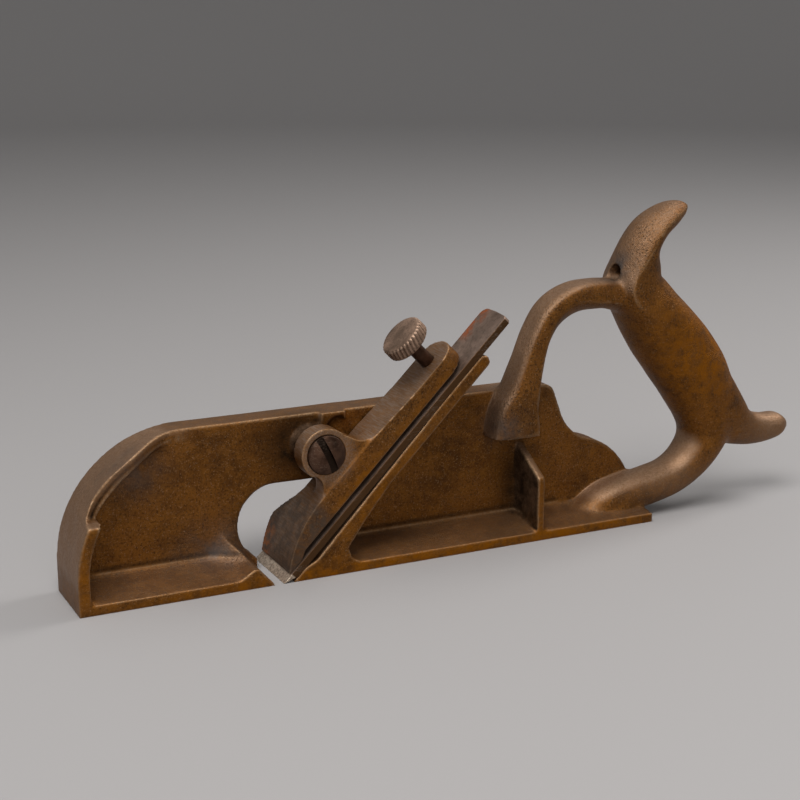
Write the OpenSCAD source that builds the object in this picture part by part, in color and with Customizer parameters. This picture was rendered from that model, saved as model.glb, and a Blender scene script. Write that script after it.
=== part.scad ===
// Rabbet plane: a one-piece cast body with an open handle, an iron on an inclined bed,
// and a lever cap that rocks on a side screw and is tightened by a knurled thumb screw.
// Part frame: +X from the toe to the heel, +Y from the open side to the flat side, +Z up.
// The origin is the centre of the sole. All sizes are in millimetres.

/* [Sole and side] */
// Length of the sole from toe to heel
sole_l = 203.2; // [190:0.1:230]
// Width of the sole
sole_w = 25.4; // [23:0.1:32]
// Thickness of the sole at its open edge
sole_t = 3.1; // [2.5:0.1:5]
// How much thicker the sole is where it meets the side wall
sole_rise = 3.2; // [1:0.1:5]
// Height of the side wall above the ground
side_h = 49.8; // [46:0.1:56]
// Thickness of the side wall
side_t = 9.6; // [8:0.1:12]
// Radius of the rounded toe
toe_r = 39.8; // [32:0.1:44]
// Thickness of the wall that closes the toe
toe_wall = 3.7; // [3:0.1:6]
// Height at which the toe wall steps back from the open side
toe_step_h = 27.5; // [20:0.1:34]
// Depth of the step back from the open side
toe_step = 8; // [5:0.1:11]

/* [Bed and throat] */
// Distance from the toe to the foot of the bed
bed_x = 68.4; // [62:0.1:76]
// Angle of the bed above the sole
bed_angle = 45; // [42:0.5:48]
// Thickness of the bed wall
bed_t = 4.3; // [3:0.1:6]
// Length of the bed along its slope
bed_l = 95; // [90:0.5:100]
// Depth of the hollow filed in the bed face
relief_depth = 1.4; // [0.5:0.1:2]
// Length of the mouth along the sole
mouth_l = 5.9; // [5:0.1:8]
// Height of the thick lip in front of the mouth
lip_h = 6.1; // [5:0.1:9]
// Radius of the round front of the throat
throat_r = 13; // [11:0.1:14]
// Height of the throat above the ground
throat_h = 28; // [26:0.1:31]

/* [Iron] */
// Thickness of the iron
iron_t = 2.4; // [2:0.1:3]
// Length of the iron above the foot of the bed
iron_l = 109; // [100:0.5:120]
// Length of the full-width cutting end
iron_wide_l = 23; // [19:0.1:25]
// Length of the sloping shoulder behind the cutting end
iron_shoulder_l = 6; // [4:0.1:8]
// Sharpening angle of the cutting edge
bevel_angle = 25; // [22:1:35]

/* [Lever cap] */
// Place of the pivot along the bed
pivot_s = 36.8; // [34:0.1:39]
// Height of the pivot above the bed
pivot_n = 19.6; // [19:0.1:22]
// Radius of the pivot boss on the cap
boss_r = 8.3; // [8:0.1:9.5]
// Height of the cap's lower edge above the bed
cap_low = 3.9; // [3.5:0.1:4.5]
// Height of the cap's back above the bed beside the pivot
cap_high = 10.9; // [9:0.1:11.5]
// Height of the cap's back above the bed at the tail
tail_high = 9.6; // [8.5:0.1:10.5]
// Length of the full-width toe of the cap
cap_toe_l = 16; // [13:0.1:18]
// Place of the thumb screw along the bed
thumb_s = 81.4; // [76:0.1:83]
// Gap between the cap's toe and the iron
pinch_gap = 0.05; // [0.02:0.01:0.1]

/* [Screws] */
// Radius of the cap screw's shank
shank_r = 3; // [2.5:0.05:3.5]
// Radius of the cap screw's thread
thread_r = 2.5; // [2:0.05:2.5]
// Radius of the cap screw's head
head_r = 6.3; // [5.5:0.05:6.5]
// Height of the cap screw's domed head
head_h = 3.4; // [2.5:0.1:4]
// Width of the driver slot
slot_w = 2.4; // [1:0.1:3]
// Radius of the thumb screw's stem
stem_r = 2.4; // [2:0.05:2.8]
// Radius of the thumb screw's knurled head
knob_r = 7.6; // [6:0.1:8.5]
// Thickness of the knurled head
knob_t = 4.7; // [3.5:0.1:6]
// Height of the head's flat top above the bed
knob_top = 23.6; // [22:0.1:26]
// Number of knurl grooves round the head
knurl_count = 32; // [20:1:40]
// Depth of the knurl grooves
knurl_depth = 0.5; // [0.3:0.05:0.7]
// Radial clearance of a shaft in its bore
bore_gap = 0.05; // [0.02:0.01:0.1]
// Clearance between faces that slide past each other
face_gap = 0.4; // [0.2:0.05:0.5]

/* [Handle] */
// Width of the grip
grip_w = 23; // [19:0.5:26]
// Depth of the grip from front to back
grip_deep = 28; // [24:0.5:30]
// Width of the arm and of the lower bar
arm_w = 16; // [14:0.5:18]
// Depth of the arm at its top
arm_deep = 9.1; // [8:0.1:11]
// Height of the arm's foot above the ground
arm_foot = 35; // [30:0.5:38]
// Width of the horn above the grip
horn_w = 20; // [17:0.5:23]
// Width of the spur behind the grip
spur_w = 12; // [9:0.5:15]
// Thickness of the stiffening rib
rib_t = 2.8; // [2:0.1:4]
// Distance from the rib to the heel
rib_back = 46.5; // [44:0.5:50]
// Height of the rib at the open side
rib_h = 21.8; // [15:0.1:24]
// Radius of the hang hole
hang_r = 2; // [1.5:0.05:2.3]
// Height of the hang hole above the ground
hang_h = 87; // [86:0.1:89]

/* [Hidden] */
$fn = 64;
through = 1;                                // how far a cut runs past the face it opens
open_w = sole_w - side_t;                   // depth of the recess beside the side wall
narrow_w = open_w - face_gap;               // width of the iron's and the cap's upper parts
cap_edge = 0.6;                             // how far the cap's side lies inside the sole's edge
boss_face = 1.3;                            // open face of the cap's boss
seat_y = 8;                                 // face of the side wall's boss, against the cap
head_seat = 1;                              // depth of the recess round the screw's head
end_gap = 0.1;                              // end play of the cap between the head and the seat
cap_mid = (cap_edge + narrow_w) / 2;        // middle of the cap's narrow part
tail_past = 1.3;                            // how far the tail's round end is past the screw
tail_r = (narrow_w - cap_edge) / 2;         // radius of the cap's round tail
iron_face = iron_t + pinch_gap;             // lowest level of what bears on the iron
tongue_lap = 0.4;                           // how far the tongue laps over the side wall
seat_bore_l = 8;                            // depth of the tapped hole in the side wall
edge_s = -iron_t / tan(bed_angle);          // place of the cutting edge along the bed
bevel_s = edge_s + iron_t / tan(bevel_angle);

// Works from the toe corner of the open side instead of from the centre of the sole
module from_corner() translate([-sole_l / 2, -sole_w / 2, 0]) children();

// Works along the bed: X up the slope, Z out of the bed face
module on_bed() translate([bed_x, 0, 0]) rotate([0, -bed_angle, 0]) children();

// Spreads a side view, drawn in X and Z, from y0 to y1
module spread(y0, y1) translate([0, y1, 0]) rotate([90, 0, 0]) linear_extrude(y1 - y0) children();

// Points of an arc from angle a0 to angle a1
function arc(cx, cy, r, a0, a1, n) =
    [for (i = [0:n]) let (a = a0 + (a1 - a0) * i / n) [cx + r * cos(a), cy + r * sin(a)]];

// Place of a point that is given along the bed and out of it
function bed_point(s, n) =
    [bed_x + s * cos(bed_angle) - n * sin(bed_angle), s * sin(bed_angle) + n * cos(bed_angle)];

// ---------------------------------------------------------------- body casting

// Side view of the side wall: round toe, flat top, and a stepped back that falls to the heel
module side_outline() {
    top_end = sole_l - 36;                  // centre of the shoulder behind the arm
    shoulder_r = 5.2;
    hollow_r = 16.5;
    tail_curve_r = 25;
    fall = 20;                              // lean of the steep stretch between the arcs
    steep_l = side_h - 41.5;                // length of that stretch
    shoulder = [top_end, side_h - shoulder_r];
    p1 = shoulder + shoulder_r * [cos(fall), sin(fall)] + steep_l * [sin(fall), -cos(fall)];
    hollow = p1 + hollow_r * [cos(fall), sin(fall)];
    p2 = hollow + hollow_r * [cos(255), sin(255)];
    hump = p2 + tail_curve_r * [cos(255), sin(255)];
    polygon(concat(
        [[0, 0]],
        arc(toe_r, side_h - toe_r, toe_r, 180, 90, 16),
        arc(shoulder[0], shoulder[1], shoulder_r, 90, fall, 6),
        arc(hollow[0], hollow[1], hollow_r, 180 + fall, 255, 6),
        [for (p = arc(hump[0], hump[1], tail_curve_r, 75, 5, 20)) if (p[0] < sole_l) p],
        [[sole_l, sole_t], [sole_l, 0]]));
}

// Cross-section of the sole: thin at the open edge, rising to the side wall
module sole_section() polygon([
    [0, 0], [sole_w, 0], [sole_w, sole_t + sole_rise],
    [open_w, sole_t + sole_rise], [0, sole_t]]);

module sole() rotate([90, 0, 90]) linear_extrude(sole_l) sole_section();

// Wall that closes the toe; above its step it runs back to the side wall in a smooth sweep
module toe_end() {
    inner_r = toe_r - toe_wall;
    step_x = toe_wall;                      // the step starts behind the upright face
    sweep_end = toe_r - 5;
    difference() {
        spread(0, sole_w) difference() {
            intersection() {
                side_outline();
                square([toe_r, side_h]);
            }
            translate([toe_r, side_h - toe_r]) circle(inner_r, $fn = 96);
            translate([toe_wall, -through]) square([toe_r, side_h - toe_r + through]);
        }
        translate([0, 0, toe_step_h]) linear_extrude(side_h) polygon(concat(
            [[-through, -through], [-through, 0], [step_x, 0]],
            [for (i = [1:8]) [step_x + toe_step * 0.7 * (1 - cos(i * 90 / 8)), toe_step * sin(i * 90 / 8)]],
            [for (i = [0:8]) let (t = i / 8) [18 + (sweep_end - 18) * t,
                toe_step + (open_w - toe_step) * t * t * (3 - 2 * t)]],
            [[sweep_end + 2 * through, open_w], [toe_r + through, open_w], [toe_r + through, -through]]));
    }
}

// Thick lip in front of the mouth, on the open side only
module mouth_lip() {
    front = bed_x - mouth_l;
    lip_top = front - 0.87 * lip_h;
    spread(0, open_w + through) polygon([
        [front, 0], [lip_top, lip_h], [lip_top - 2, lip_h], [lip_top - 6.8, sole_t], [lip_top - 6.8, 0]]);
}

// Inclined wall under the iron; above the side wall it stands up as a round-ended tongue
module bed_wall() {
    tip_r = bed_t / 2;
    foot_s = 19.5;                          // where the thickened foot bends into the sole
    foot_x = bed_point(foot_s, -bed_t - 3.2)[0];
    spread(0, open_w + tongue_lap) {
        polygon([
            [bed_x, 0], bed_point(bed_l - tip_r, 0), bed_point(bed_l - tip_r, -bed_t),
            bed_point(44, -bed_t), bed_point(30, -bed_t - 1.4), bed_point(foot_s, -bed_t - 3.2),
            [foot_x + 1.2, sole_t + 1.6], [foot_x + 4.5, sole_t], [foot_x + 4.5, 0]]);
        translate(bed_point(bed_l - tip_r, -bed_t / 2)) circle(tip_r);
    }
}

// What the throat leaves open in the side wall: round in front, and bounded by the bed behind
module throat_outline() {
    front = bed_x - mouth_l;
    lead = throat_r / 2;                    // the round part starts this far in front of its centre
    throat_z = throat_h - throat_r;
    top_end = bed_point(throat_h / sin(bed_angle), 0);
    polygon(concat(
        [[front, -through]],
        arc(front + lead, throat_z, throat_r, 180 + acos(lead / throat_r), 90, 30),
        [top_end, [bed_x, 0], [bed_x, -through]]));
}

// Mouth: slants through the lip in front, and is bounded by the bed wall behind
module mouth_outline() {
    front = bed_x - mouth_l;
    into_wall = 0.5;                        // the bed wall alone forms the bed face
    polygon([
        [front, -through], [front, 0], [front - 0.87 * throat_h, throat_h],
        bed_point(throat_h / sin(bed_angle), -into_wall), [bed_x + into_wall / sin(bed_angle), 0],
        [bed_x + into_wall / sin(bed_angle), -through]]);
}

// Shallow hollow in the bed face, so that the iron bears at the mouth and at the top
module bed_relief() {
    start = 6;
    deepest = 10;
    end = 72;
    strip = 0.4;                            // what the cutter leaves beside the side wall
    on_bed() spread(-through, open_w - strip) polygon([
        [start, through], [start, 0], [deepest, -relief_depth], [end, 0], [end, through]]);
}

// Boss on the side wall that takes the cap screw, with a low pad up to the wall's top
module screw_boss() {
    p = bed_point(pivot_s, pivot_n);
    pad_t = 1.6;
    pad_w = 13.4;
    translate([p[0], open_w + through, p[1]]) rotate([90, 0, 0])
        cylinder(h = open_w + through - seat_y, r = boss_r - 1.2);
    spread(open_w - pad_t, open_w + through) difference() {
        translate([p[0], p[1]]) square([pad_w, side_h - p[1]]);
        translate([p[0] + pad_w, p[1]]) circle(5.2);
    }
}

// Triangular rib that braces the sole against the side wall
module rib() translate([sole_l - rib_back, 0, 0]) rotate([90, 0, 90]) linear_extrude(rib_t)
    polygon([[0, 0], [0, rib_h], [open_w + through, rib_h + 10], [open_w + through, 0]]);

// Knot i of a list, held at both ends
function knot(k, i) = k[max(0, min(len(k) - 1, i))];

// Point on the smooth curve that runs through the knots; u counts knots
function on_curve(k, u) =
    let (i = min(floor(u), len(k) - 2), t = u - i,
         a = knot(k, i - 1), b = knot(k, i), c = knot(k, i + 1), d = knot(k, i + 2))
    (2 * b + (c - a) * t + (2 * a - 5 * b + 4 * c - d) * t * t
     + (3 * b - a - 3 * c + d) * t * t * t) / 2;

function signed_power(v, e) = sign(v) * pow(abs(v), e);

// A limb of the handle: rounded sections carried along a curve in the middle plane.
// Each knot is [x, z, half depth, half width]; squareness 2 gives ellipses, more gives flatter sides.
module limb(knots, squareness, per_knot = 3, sides = 20) {
    rings = (len(knots) - 1) * per_knot;
    step = 0.05;
    points = [for (j = [0:rings]) let (
            u = j / per_knot,
            p = on_curve(knots, u),
            d = on_curve(knots, min(u + step, len(knots) - 1)) - on_curve(knots, max(u - step, 0)),
            along = [d[0], d[1]] / norm([d[0], d[1]]))
        for (i = [0:sides - 1]) let (
            a = i * 360 / sides,
            deep = p[2] * signed_power(cos(a), 2 / squareness),
            wide = p[3] * signed_power(sin(a), 2 / squareness))
        [p[0] - along[1] * deep, sole_w / 2 + wide, p[1] + along[0] * deep]];
    faces = concat(
        [[for (i = [sides - 1:-1:0]) i]],
        [for (j = [0:rings - 1]) for (i = [0:sides - 1])
            let (k = j * sides, n = (i + 1) % sides)
            each [[k + i, k + n, k + sides + i], [k + n, k + sides + n, k + sides + i]]],
        [[for (i = [0:sides - 1]) rings * sides + i]]);
    polyhedron(points, faces, convexity = 6);
}

// Horn, grip, lower bar and the half-round foot that runs out on the sole
module grip_limb() {
    h = sole_l;
    g = grip_deep / 2;
    w = grip_w / 2;
    horn = horn_w / 2;
    bar = arm_w / 2;
    limb([
        [h + 17.4, 108.1, 0.6, 0.14 * horn],
        [h + 14.2, 107.5, 2.6, 0.48 * horn],
        [h + 9.0, 105.4, 3.9, 0.78 * horn],
        [h + 3.1, 101.5, 4.4, 0.93 * horn],
        [h - 1.1, 95.7, 5.3, 0.98 * horn],
        [h - 2.4, 89.0, 7.7, horn],
        [h - 2.2, 81.8, 9.4, 1.03 * horn],
        [h + 2.5, 73.6, 0.79 * g, 0.97 * w],
        [h + 8.6, 65.5, 0.89 * g, w],
        [h + 15.9, 57.0, 0.94 * g, w],
        [h + 23.1, 47.2, 0.93 * g, w],
        [h + 28.2, 36.5, 0.84 * g, 0.92 * w],
        [h + 28.4, 25.3, 0.62 * g, 0.83 * w],
        [h + 23.0, 17.1, 0.51 * g, 1.06 * bar],
        [h + 15.1, 11.8, 0.48 * g, bar],
        [h + 5.5, 9.3, 0.48 * g, bar],
        [h - 4.9, 7.6, 0.46 * g, bar],
        [h - 12.8, 6.3, 0.4 * g, 0.95 * bar],
        [h - 19.5, 4.4, 0.28 * g, 0.8 * bar],
        [h - 27.0, 3.2, 0.05 * g, 0.3 * bar]], 2.3, 3, 24);
}

// Arm that rises from the side wall and bends over into the top of the grip
module arm_limb() {
    h = sole_l;
    d = arm_deep / 2;
    w = arm_w / 2;
    limb([
        [h - 50.2, arm_foot - 4, 1.98 * d, 0.92 * w],
        [h - 49.7, arm_foot + 2, 1.93 * d, 0.92 * w],
        [h - 49.1, arm_foot + 8, 1.74 * d, 0.9 * w],
        [h - 47.2, arm_foot + 13.9, 1.34 * d, 0.86 * w],
        [h - 45.0, arm_foot + 22.0, 1.06 * d, 0.8 * w],
        [h - 42.9, 63.5, 0.94 * d, 0.78 * w],
        [h - 40.6, 68.6, 0.94 * d, 0.78 * w],
        [h - 37.0, 73.9, 1.03 * d, 0.78 * w],
        [h - 31.9, 77.7, 1.08 * d, 0.79 * w],
        [h - 26.1, 79.8, 1.1 * d, 0.8 * w],
        [h - 20.0, 80.2, 1.1 * d, 0.8 * w],
        [h - 14.0, 79.7, 1.12 * d, 0.82 * w],
        [h - 4.0, 78.0, 1.35 * d, 0.86 * w],
        [h + 4.0, 76.0, 1.35 * d, 0.86 * w]], 2.8, 3, 20);
}

// Spur behind the heel of the hand
module spur_limb() {
    h = sole_l;
    w = spur_w / 2;
    limb([
        [h + 24.0, 50.0, 9.0, 1.2 * w],
        [h + 31.0, 38.0, 10.0, 1.25 * w],
        [h + 38.5, 29.5, 8.5, 1.2 * w],
        [h + 46.0, 25.6, 6.4, 1.05 * w],
        [h + 54.0, 24.5, 5.4, w],
        [h + 61.0, 25.1, 4.5, 0.9 * w],
        [h + 64.6, 25.3, 2.2, 0.5 * w]], 2.2, 3, 20);
}

module body_casting() color("peru") from_corner() difference() {
    union() {
        difference() {
            union() {
                sole();
                mouth_lip();
            }
            spread(-through, sole_w + through) mouth_outline();
        }
        difference() {
            union() {
                spread(open_w, sole_w) side_outline();
                toe_end();
            }
            spread(-through, sole_w + through) throat_outline();
        }
        bed_wall();
        screw_boss();
        rib();
        difference() {
            union() {
                grip_limb();
                difference() {
                    arm_limb();
                    translate([0, 0, arm_foot - 2 * arm_w])
                        cube([sole_l, sole_w, 2 * arm_w]);
                }
                spur_limb();
            }
            translate([0, -sole_w, -2 * sole_w]) cube([2 * sole_l, 3 * sole_w, 2 * sole_w + 0.8]);
        }
    }
    bed_relief();
    p = bed_point(pivot_s, pivot_n);
    translate([p[0], seat_y + seat_bore_l, p[1]]) rotate([90, 0, 0])
        cylinder(h = seat_bore_l + through, r = thread_r + bore_gap);
    translate([sole_l - 15, sole_w / 2, hang_h]) rotate([0, 90, 0]) cylinder(h = 30, r = hang_r);
}

// ---------------------------------------------------------------- iron

// Side view of the iron: flat back up, one bevel ground underneath
module iron() color("slategray") from_corner() on_bed() intersection() {
    spread(0, sole_w) polygon([
        [edge_s, iron_t], [bevel_s, 0], [iron_l, 0], [iron_l, iron_t]]);
    corner = 3;
    translate([0, 0, -through]) linear_extrude(iron_t + 2 * through) polygon(concat(
        [[edge_s - through, 0], [edge_s - through, sole_w], [iron_wide_l, sole_w],
         [iron_wide_l + iron_shoulder_l, narrow_w]],
        arc(iron_l - corner, narrow_w - corner, corner, 90, 10, 8),
        [[iron_l, narrow_w / 2], [iron_l - 0.5, 1.2], [iron_l - 1.5, 0]]));
}

// ---------------------------------------------------------------- lever cap

// Back of the cap in side view, from its thin lip to its tail
module cap_outline() {
    bulge_s = 25;
    lip_s = 1.3;
    rise = cap_high - iron_face - 0.7;
    bulge_r = ((bulge_s - lip_s) * (bulge_s - lip_s) + rise * rise) / (2 * rise);
    lean = atan((bulge_s - lip_s) / (bulge_r - rise));
    tail_s = thumb_s + tail_past + tail_r;
    polygon(concat(
        [[lip_s, iron_face]],
        arc(bulge_s, cap_high - bulge_r, bulge_r, 90 + lean, 90, 10),
        [[pivot_s + 14, cap_high], [thumb_s - 12, tail_high + 0.2], [tail_s, tail_high],
         [tail_s, cap_low], [10, cap_low], [7, iron_face]]));
}

// Plan of the cap: full width at the toe, narrow beside the side wall, round at the tail
module cap_plan() {
    corner = 5;
    polygon(concat(
        [[0, cap_edge], [0, sole_w - cap_edge]],
        arc(cap_toe_l - corner, sole_w - cap_edge - corner, corner, 90, 30, 5),
        [[cap_toe_l + 6, narrow_w + 1.2], [cap_toe_l + 9, narrow_w]],
        arc(thumb_s + tail_past, cap_mid, tail_r, 90, -90, 16)));
}

// Upright boss in side view, with hollow-sided necks down to the back of the cap
module boss_outline() {
    hollow_r = 4.5;
    neck_r = 6.5;
    neck_s = pivot_s + 15.8;                // where the neck runs out on the cap's back
    translate([pivot_s, pivot_n]) circle(boss_r);
    difference() {
        polygon([
            [pivot_s - boss_r * sin(45) - 3, pivot_n + boss_r * cos(45) - 6],
            [pivot_s + boss_r * cos(45), pivot_n + boss_r * sin(45)],
            [neck_s, cap_high], [pivot_s - 13, cap_high - 2], [pivot_s - 13, cap_high + 3]]);
        translate([pivot_s - boss_r - hollow_r + 1.2, cap_high + hollow_r + 0.4]) circle(hollow_r);
        translate([neck_s, cap_high + neck_r]) circle(neck_r);
    }
}

module lever_cap() color("darkgoldenrod") from_corner() on_bed() difference() {
    union() {
        intersection() {
            spread(0, sole_w) cap_outline();
            linear_extrude(side_h) cap_plan();
        }
        spread(boss_face, seat_y - end_gap) boss_outline();
    }
    // hollow under the arm, inside a rim
    hollow_start = 14;
    hollow_end = thumb_s - 8;
    rim = 2.2;
    hollow_top = cap_low + 1.4;
    translate([hollow_start, cap_edge + rim, 0])
        cube([hollow_end - hollow_start, narrow_w - cap_edge - 2 * rim, hollow_top]);
    translate([pivot_s, seat_y, pivot_n]) rotate([90, 0, 0])
        cylinder(h = seat_y, r = shank_r + bore_gap);
    translate([pivot_s, boss_face + head_seat, pivot_n]) rotate([90, 0, 0])
        cylinder(h = boss_face + head_seat + through, r = head_r + 0.25);
    translate([thumb_s, cap_mid, 0]) cylinder(h = side_h, r = stem_r + bore_gap);
}

// ---------------------------------------------------------------- screws

// Slotted cap screw: domed head, plain shank in the cap's boss, thread in the side wall
module cap_screw() color("dimgray") from_corner() on_bed()
    translate([pivot_s, boss_face + head_seat - end_gap, pivot_n]) rotate([-90, 0, 0]) difference() {
        rim_h = 1.7;
        slot_turn = 112;                    // direction in which the slot came to rest
        slot_depth = 1.8;
        dome_h = head_h - rim_h;
        dome_r = (head_r * head_r + dome_h * dome_h) / (2 * dome_h);
        shank_l = seat_y - boss_face - head_seat + end_gap;
        thread_l = seat_bore_l - 1;
        rotate_extrude() polygon(concat(
            arc(0, dome_r - head_h, dome_r, -90, -90 + asin(head_r / dome_r), 8),
            [[head_r, 0], [shank_r, 0], [shank_r, shank_l], [thread_r, shank_l],
             [thread_r, shank_l + thread_l], [0, shank_l + thread_l]]));
        rotate(slot_turn) translate([-head_r - through, -slot_w / 2, -head_h - through])
            cube([2 * head_r + 2 * through, slot_w, slot_depth + through]);
    }

knob_low = knob_top - knob_t;               // underside of the knurled head
spigot_l = 3;                               // length of the stem inside the head
spigot_r = stem_r - 0.6;                    // radius of the stem inside the head

// Stem of the thumb screw, with a rounded point that bears on the iron
module thumb_screw_stem() color("slategray") from_corner() on_bed() translate([thumb_s, cap_mid, 0]) {
    point_h = 1;
    translate([0, 0, iron_face]) cylinder(h = point_h, r1 = stem_r - 1, r2 = stem_r);
    translate([0, 0, iron_face + point_h]) cylinder(h = knob_low - 0.1 - iron_face - point_h, r = stem_r);
    translate([0, 0, knob_low - 0.1]) cylinder(h = spigot_l, r = spigot_r);
}

// Knurled head of the thumb screw: slanting grooves round the rim, flat face with a small chamfer
module thumb_screw_head() color("rosybrown") from_corner() on_bed() translate([thumb_s, cap_mid, knob_low]) {
    chamfer = 0.7;
    difference() {
        union() {
            cylinder(h = chamfer, r1 = knob_r - chamfer, r2 = knob_r);
            translate([0, 0, chamfer]) cylinder(h = knob_t - 2 * chamfer, r = knob_r);
            translate([0, 0, knob_t - chamfer]) cylinder(h = chamfer, r1 = knob_r, r2 = knob_r - chamfer);
        }
        translate([0, 0, -through]) cylinder(h = through + spigot_l + 0.1, r = spigot_r + bore_gap);
        for (i = [0:knurl_count - 1]) rotate(i * 360 / knurl_count) translate([knob_r, 0, knob_t / 2])
            rotate([18, 0, 0]) rotate([0, 0, 45])
                cube([knurl_depth * sqrt(2), knurl_depth * sqrt(2), 2 * knob_t], center = true);
    }
}

body_casting();
iron();
lever_cap();
cap_screw();
thumb_screw_stem();
thumb_screw_head();
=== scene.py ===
"""Cast bronze rabbet plane with an open handle, a lever cap and a knurled thumb screw.

Lengths below are millimetres from the toe corner of the open side: X runs to the heel,
Y across to the closed side and Z up. They become metres in the model's frame when a mesh is made.
"""
import math

import bmesh
import bpy
import numpy as np
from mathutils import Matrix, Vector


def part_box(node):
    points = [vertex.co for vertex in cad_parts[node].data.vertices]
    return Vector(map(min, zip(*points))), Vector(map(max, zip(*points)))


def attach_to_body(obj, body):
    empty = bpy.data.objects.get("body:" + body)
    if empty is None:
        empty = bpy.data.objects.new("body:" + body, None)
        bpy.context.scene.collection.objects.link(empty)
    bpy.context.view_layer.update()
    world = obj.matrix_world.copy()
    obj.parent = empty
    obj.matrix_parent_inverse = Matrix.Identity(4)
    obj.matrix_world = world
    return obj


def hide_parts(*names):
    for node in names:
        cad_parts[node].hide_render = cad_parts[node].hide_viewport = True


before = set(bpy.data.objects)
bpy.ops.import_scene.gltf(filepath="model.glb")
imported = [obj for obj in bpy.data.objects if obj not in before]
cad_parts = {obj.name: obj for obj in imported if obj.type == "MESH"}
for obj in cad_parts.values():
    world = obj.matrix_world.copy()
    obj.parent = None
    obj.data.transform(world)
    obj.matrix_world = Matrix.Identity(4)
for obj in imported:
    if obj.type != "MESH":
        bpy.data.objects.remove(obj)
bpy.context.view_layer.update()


# ------------------------------------------------------------------ studio
# A plain pale board that curves up all round, one broad soft lamp above the toe end,
# a weaker one in front, and a dim even surround. The camera stands low at the toe end.

BOARD_GREY = (0.33, 0.32, 0.32)
FLAT_RADIUS = 1.6
RISE_RADIUS = 0.9
CAMERA_PLACE = (-0.21206, -0.45839, 0.18446)
CAMERA_PITCH = 75.353
CAMERA_YAW = -25.838
CAMERA_LENS = 73.1


def board():
    """Floor of revolution: flat out to one radius, then a quarter circle up.
    Point (i, j) is the profile's point i turned about Z by step j."""
    steps = 96
    bend = np.linspace(0, math.pi / 2, 24)
    radius = np.concatenate([[0.001, 0.4], FLAT_RADIUS + RISE_RADIUS * np.sin(bend)])
    height = np.concatenate([[0, 0], RISE_RADIUS * (1 - np.cos(bend))])
    turn = np.arange(steps) * 2 * math.pi / steps
    points = np.stack([radius[:, None] * np.cos(turn), radius[:, None] * np.sin(turn),
                       height[:, None] + 0 * turn], axis=-1)
    index = np.arange(points.shape[0] * steps).reshape(-1, steps)
    ahead = np.roll(index, -1, axis=1)
    faces = np.stack([index[:-1], index[1:], ahead[1:], ahead[:-1]], axis=-1).reshape(-1, 4)
    mesh = bpy.data.meshes.new("board")
    mesh.from_pydata(points.reshape(-1, 3), [], faces.tolist() + [index[0].tolist()])
    mesh.shade_smooth()
    floor = bpy.data.objects.new("board", mesh)
    bpy.context.scene.collection.objects.link(floor)
    paint = bpy.data.materials.new("board_paint")
    paint.use_nodes = True
    shader = paint.node_tree.nodes["Principled BSDF"]
    shader.inputs["Base Color"].default_value = (*BOARD_GREY, 1)
    shader.inputs["Roughness"].default_value = 0.6
    mesh.materials.append(paint)


def lamp(name, place, aim, size, watts, colour):
    """Round lamp, tipped up from straight down by the angle to its aim and turned about Z to it."""
    data = bpy.data.lights.new(name, "AREA")
    data.shape = "DISK"
    data.size = size
    data.energy = watts
    data.color = colour
    light = bpy.data.objects.new(name, data)
    light.location = place
    direction = np.array(aim) - np.array(place)
    light.rotation_euler = (math.atan2(math.hypot(direction[0], direction[1]), -direction[2]), 0,
                            math.atan2(direction[1], direction[0]) - math.pi / 2)
    bpy.context.scene.collection.objects.link(light)


def camera():
    """Camera tipped up from straight down by its pitch, then turned about Z by its yaw."""
    data = bpy.data.cameras.new("camera")
    data.lens = CAMERA_LENS
    data.sensor_width = 36
    data.clip_end = 20
    view = bpy.data.objects.new("camera", data)
    view.location = CAMERA_PLACE
    view.rotation_euler = (math.radians(CAMERA_PITCH), 0, math.radians(CAMERA_YAW))
    bpy.context.scene.collection.objects.link(view)
    bpy.context.scene.camera = view


def surround(strength):
    """Even and nearly white light from all round."""
    world = bpy.data.worlds.new("surround")
    world.use_nodes = True
    background = world.node_tree.nodes["Background"]
    background.inputs["Color"].default_value = (1, 0.99, 0.98, 1)
    background.inputs["Strength"].default_value = strength
    bpy.context.scene.world = world


camera()
board()
lamp("key", (-0.28, -0.3, 0.95), (0.02, 0, 0.03), 0.7, 9.5, (1, 0.985, 0.97))
lamp("front", (-0.25, -1.2, 0.5), (0.02, 0, 0.04), 0.7, 3.4, (1, 0.98, 0.96))
lamp("heel", (0.75, 0.1, 0.7), (0.1, 0, 0.04), 0.4, 4, (1, 0.98, 0.96))
surround(0.3)
bpy.context.scene.view_settings.view_transform = "Standard"


# ------------------------------------------------------------------ body casting
# Sole, side wall, toe, inclined bed and handle, one bronze casting with soft inside corners.
# Its parts are modelled as closed shells, melted into one skin, and filleted as a casting is.

CORNER = np.array(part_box("body_casting")[0]) * 1000
SOLE_L = 203.2
SOLE_W = 25.4
SOLE_T = 3.1
SOLE_RISE = 3.2
SIDE_H = 49.8
OPEN_W = 15.8
TOE_R = 39.8
TOE_WALL = 3.7
STEP_H = 27.5
STEP_IN = 8.0
BED_X = 68.4
BED_T = 4.3
BED_L = 95.0
RELIEF = 1.4
MOUTH_FRONT = 62.5
LIP_H = 6.1
LIP_LEAN = 0.87
THROAT_R = 13.0
THROAT_H = 28.0
PIVOT = (36.8, 19.6)
SEAT_Y = 8.0
SIDE_BOSS_R = 6.2
LAP = 0.4
BED_FOOT_S = 19.5
FOOT_SWELL = 3.2
TOP_END = 36.0
TOP_END_R = 5.2
BACK_FALL = 20
FALL_L = 8.3
HOLLOW_R = 16.5
HOLLOW_END = 255
HUMP_R = 25.0
RIB_BACK = 46.5
RIB_T = 2.8
RIB_LOW = 21.8
RIB_HIGH = 31.8
ARM_FOOT = 35.0
HANG_H = 87.0
HANG_R = 2.2
HANG_SINK_R = 3.5
HORN_TOP = 109.95
ROUND = (0, 0.5, 2.2)


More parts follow.
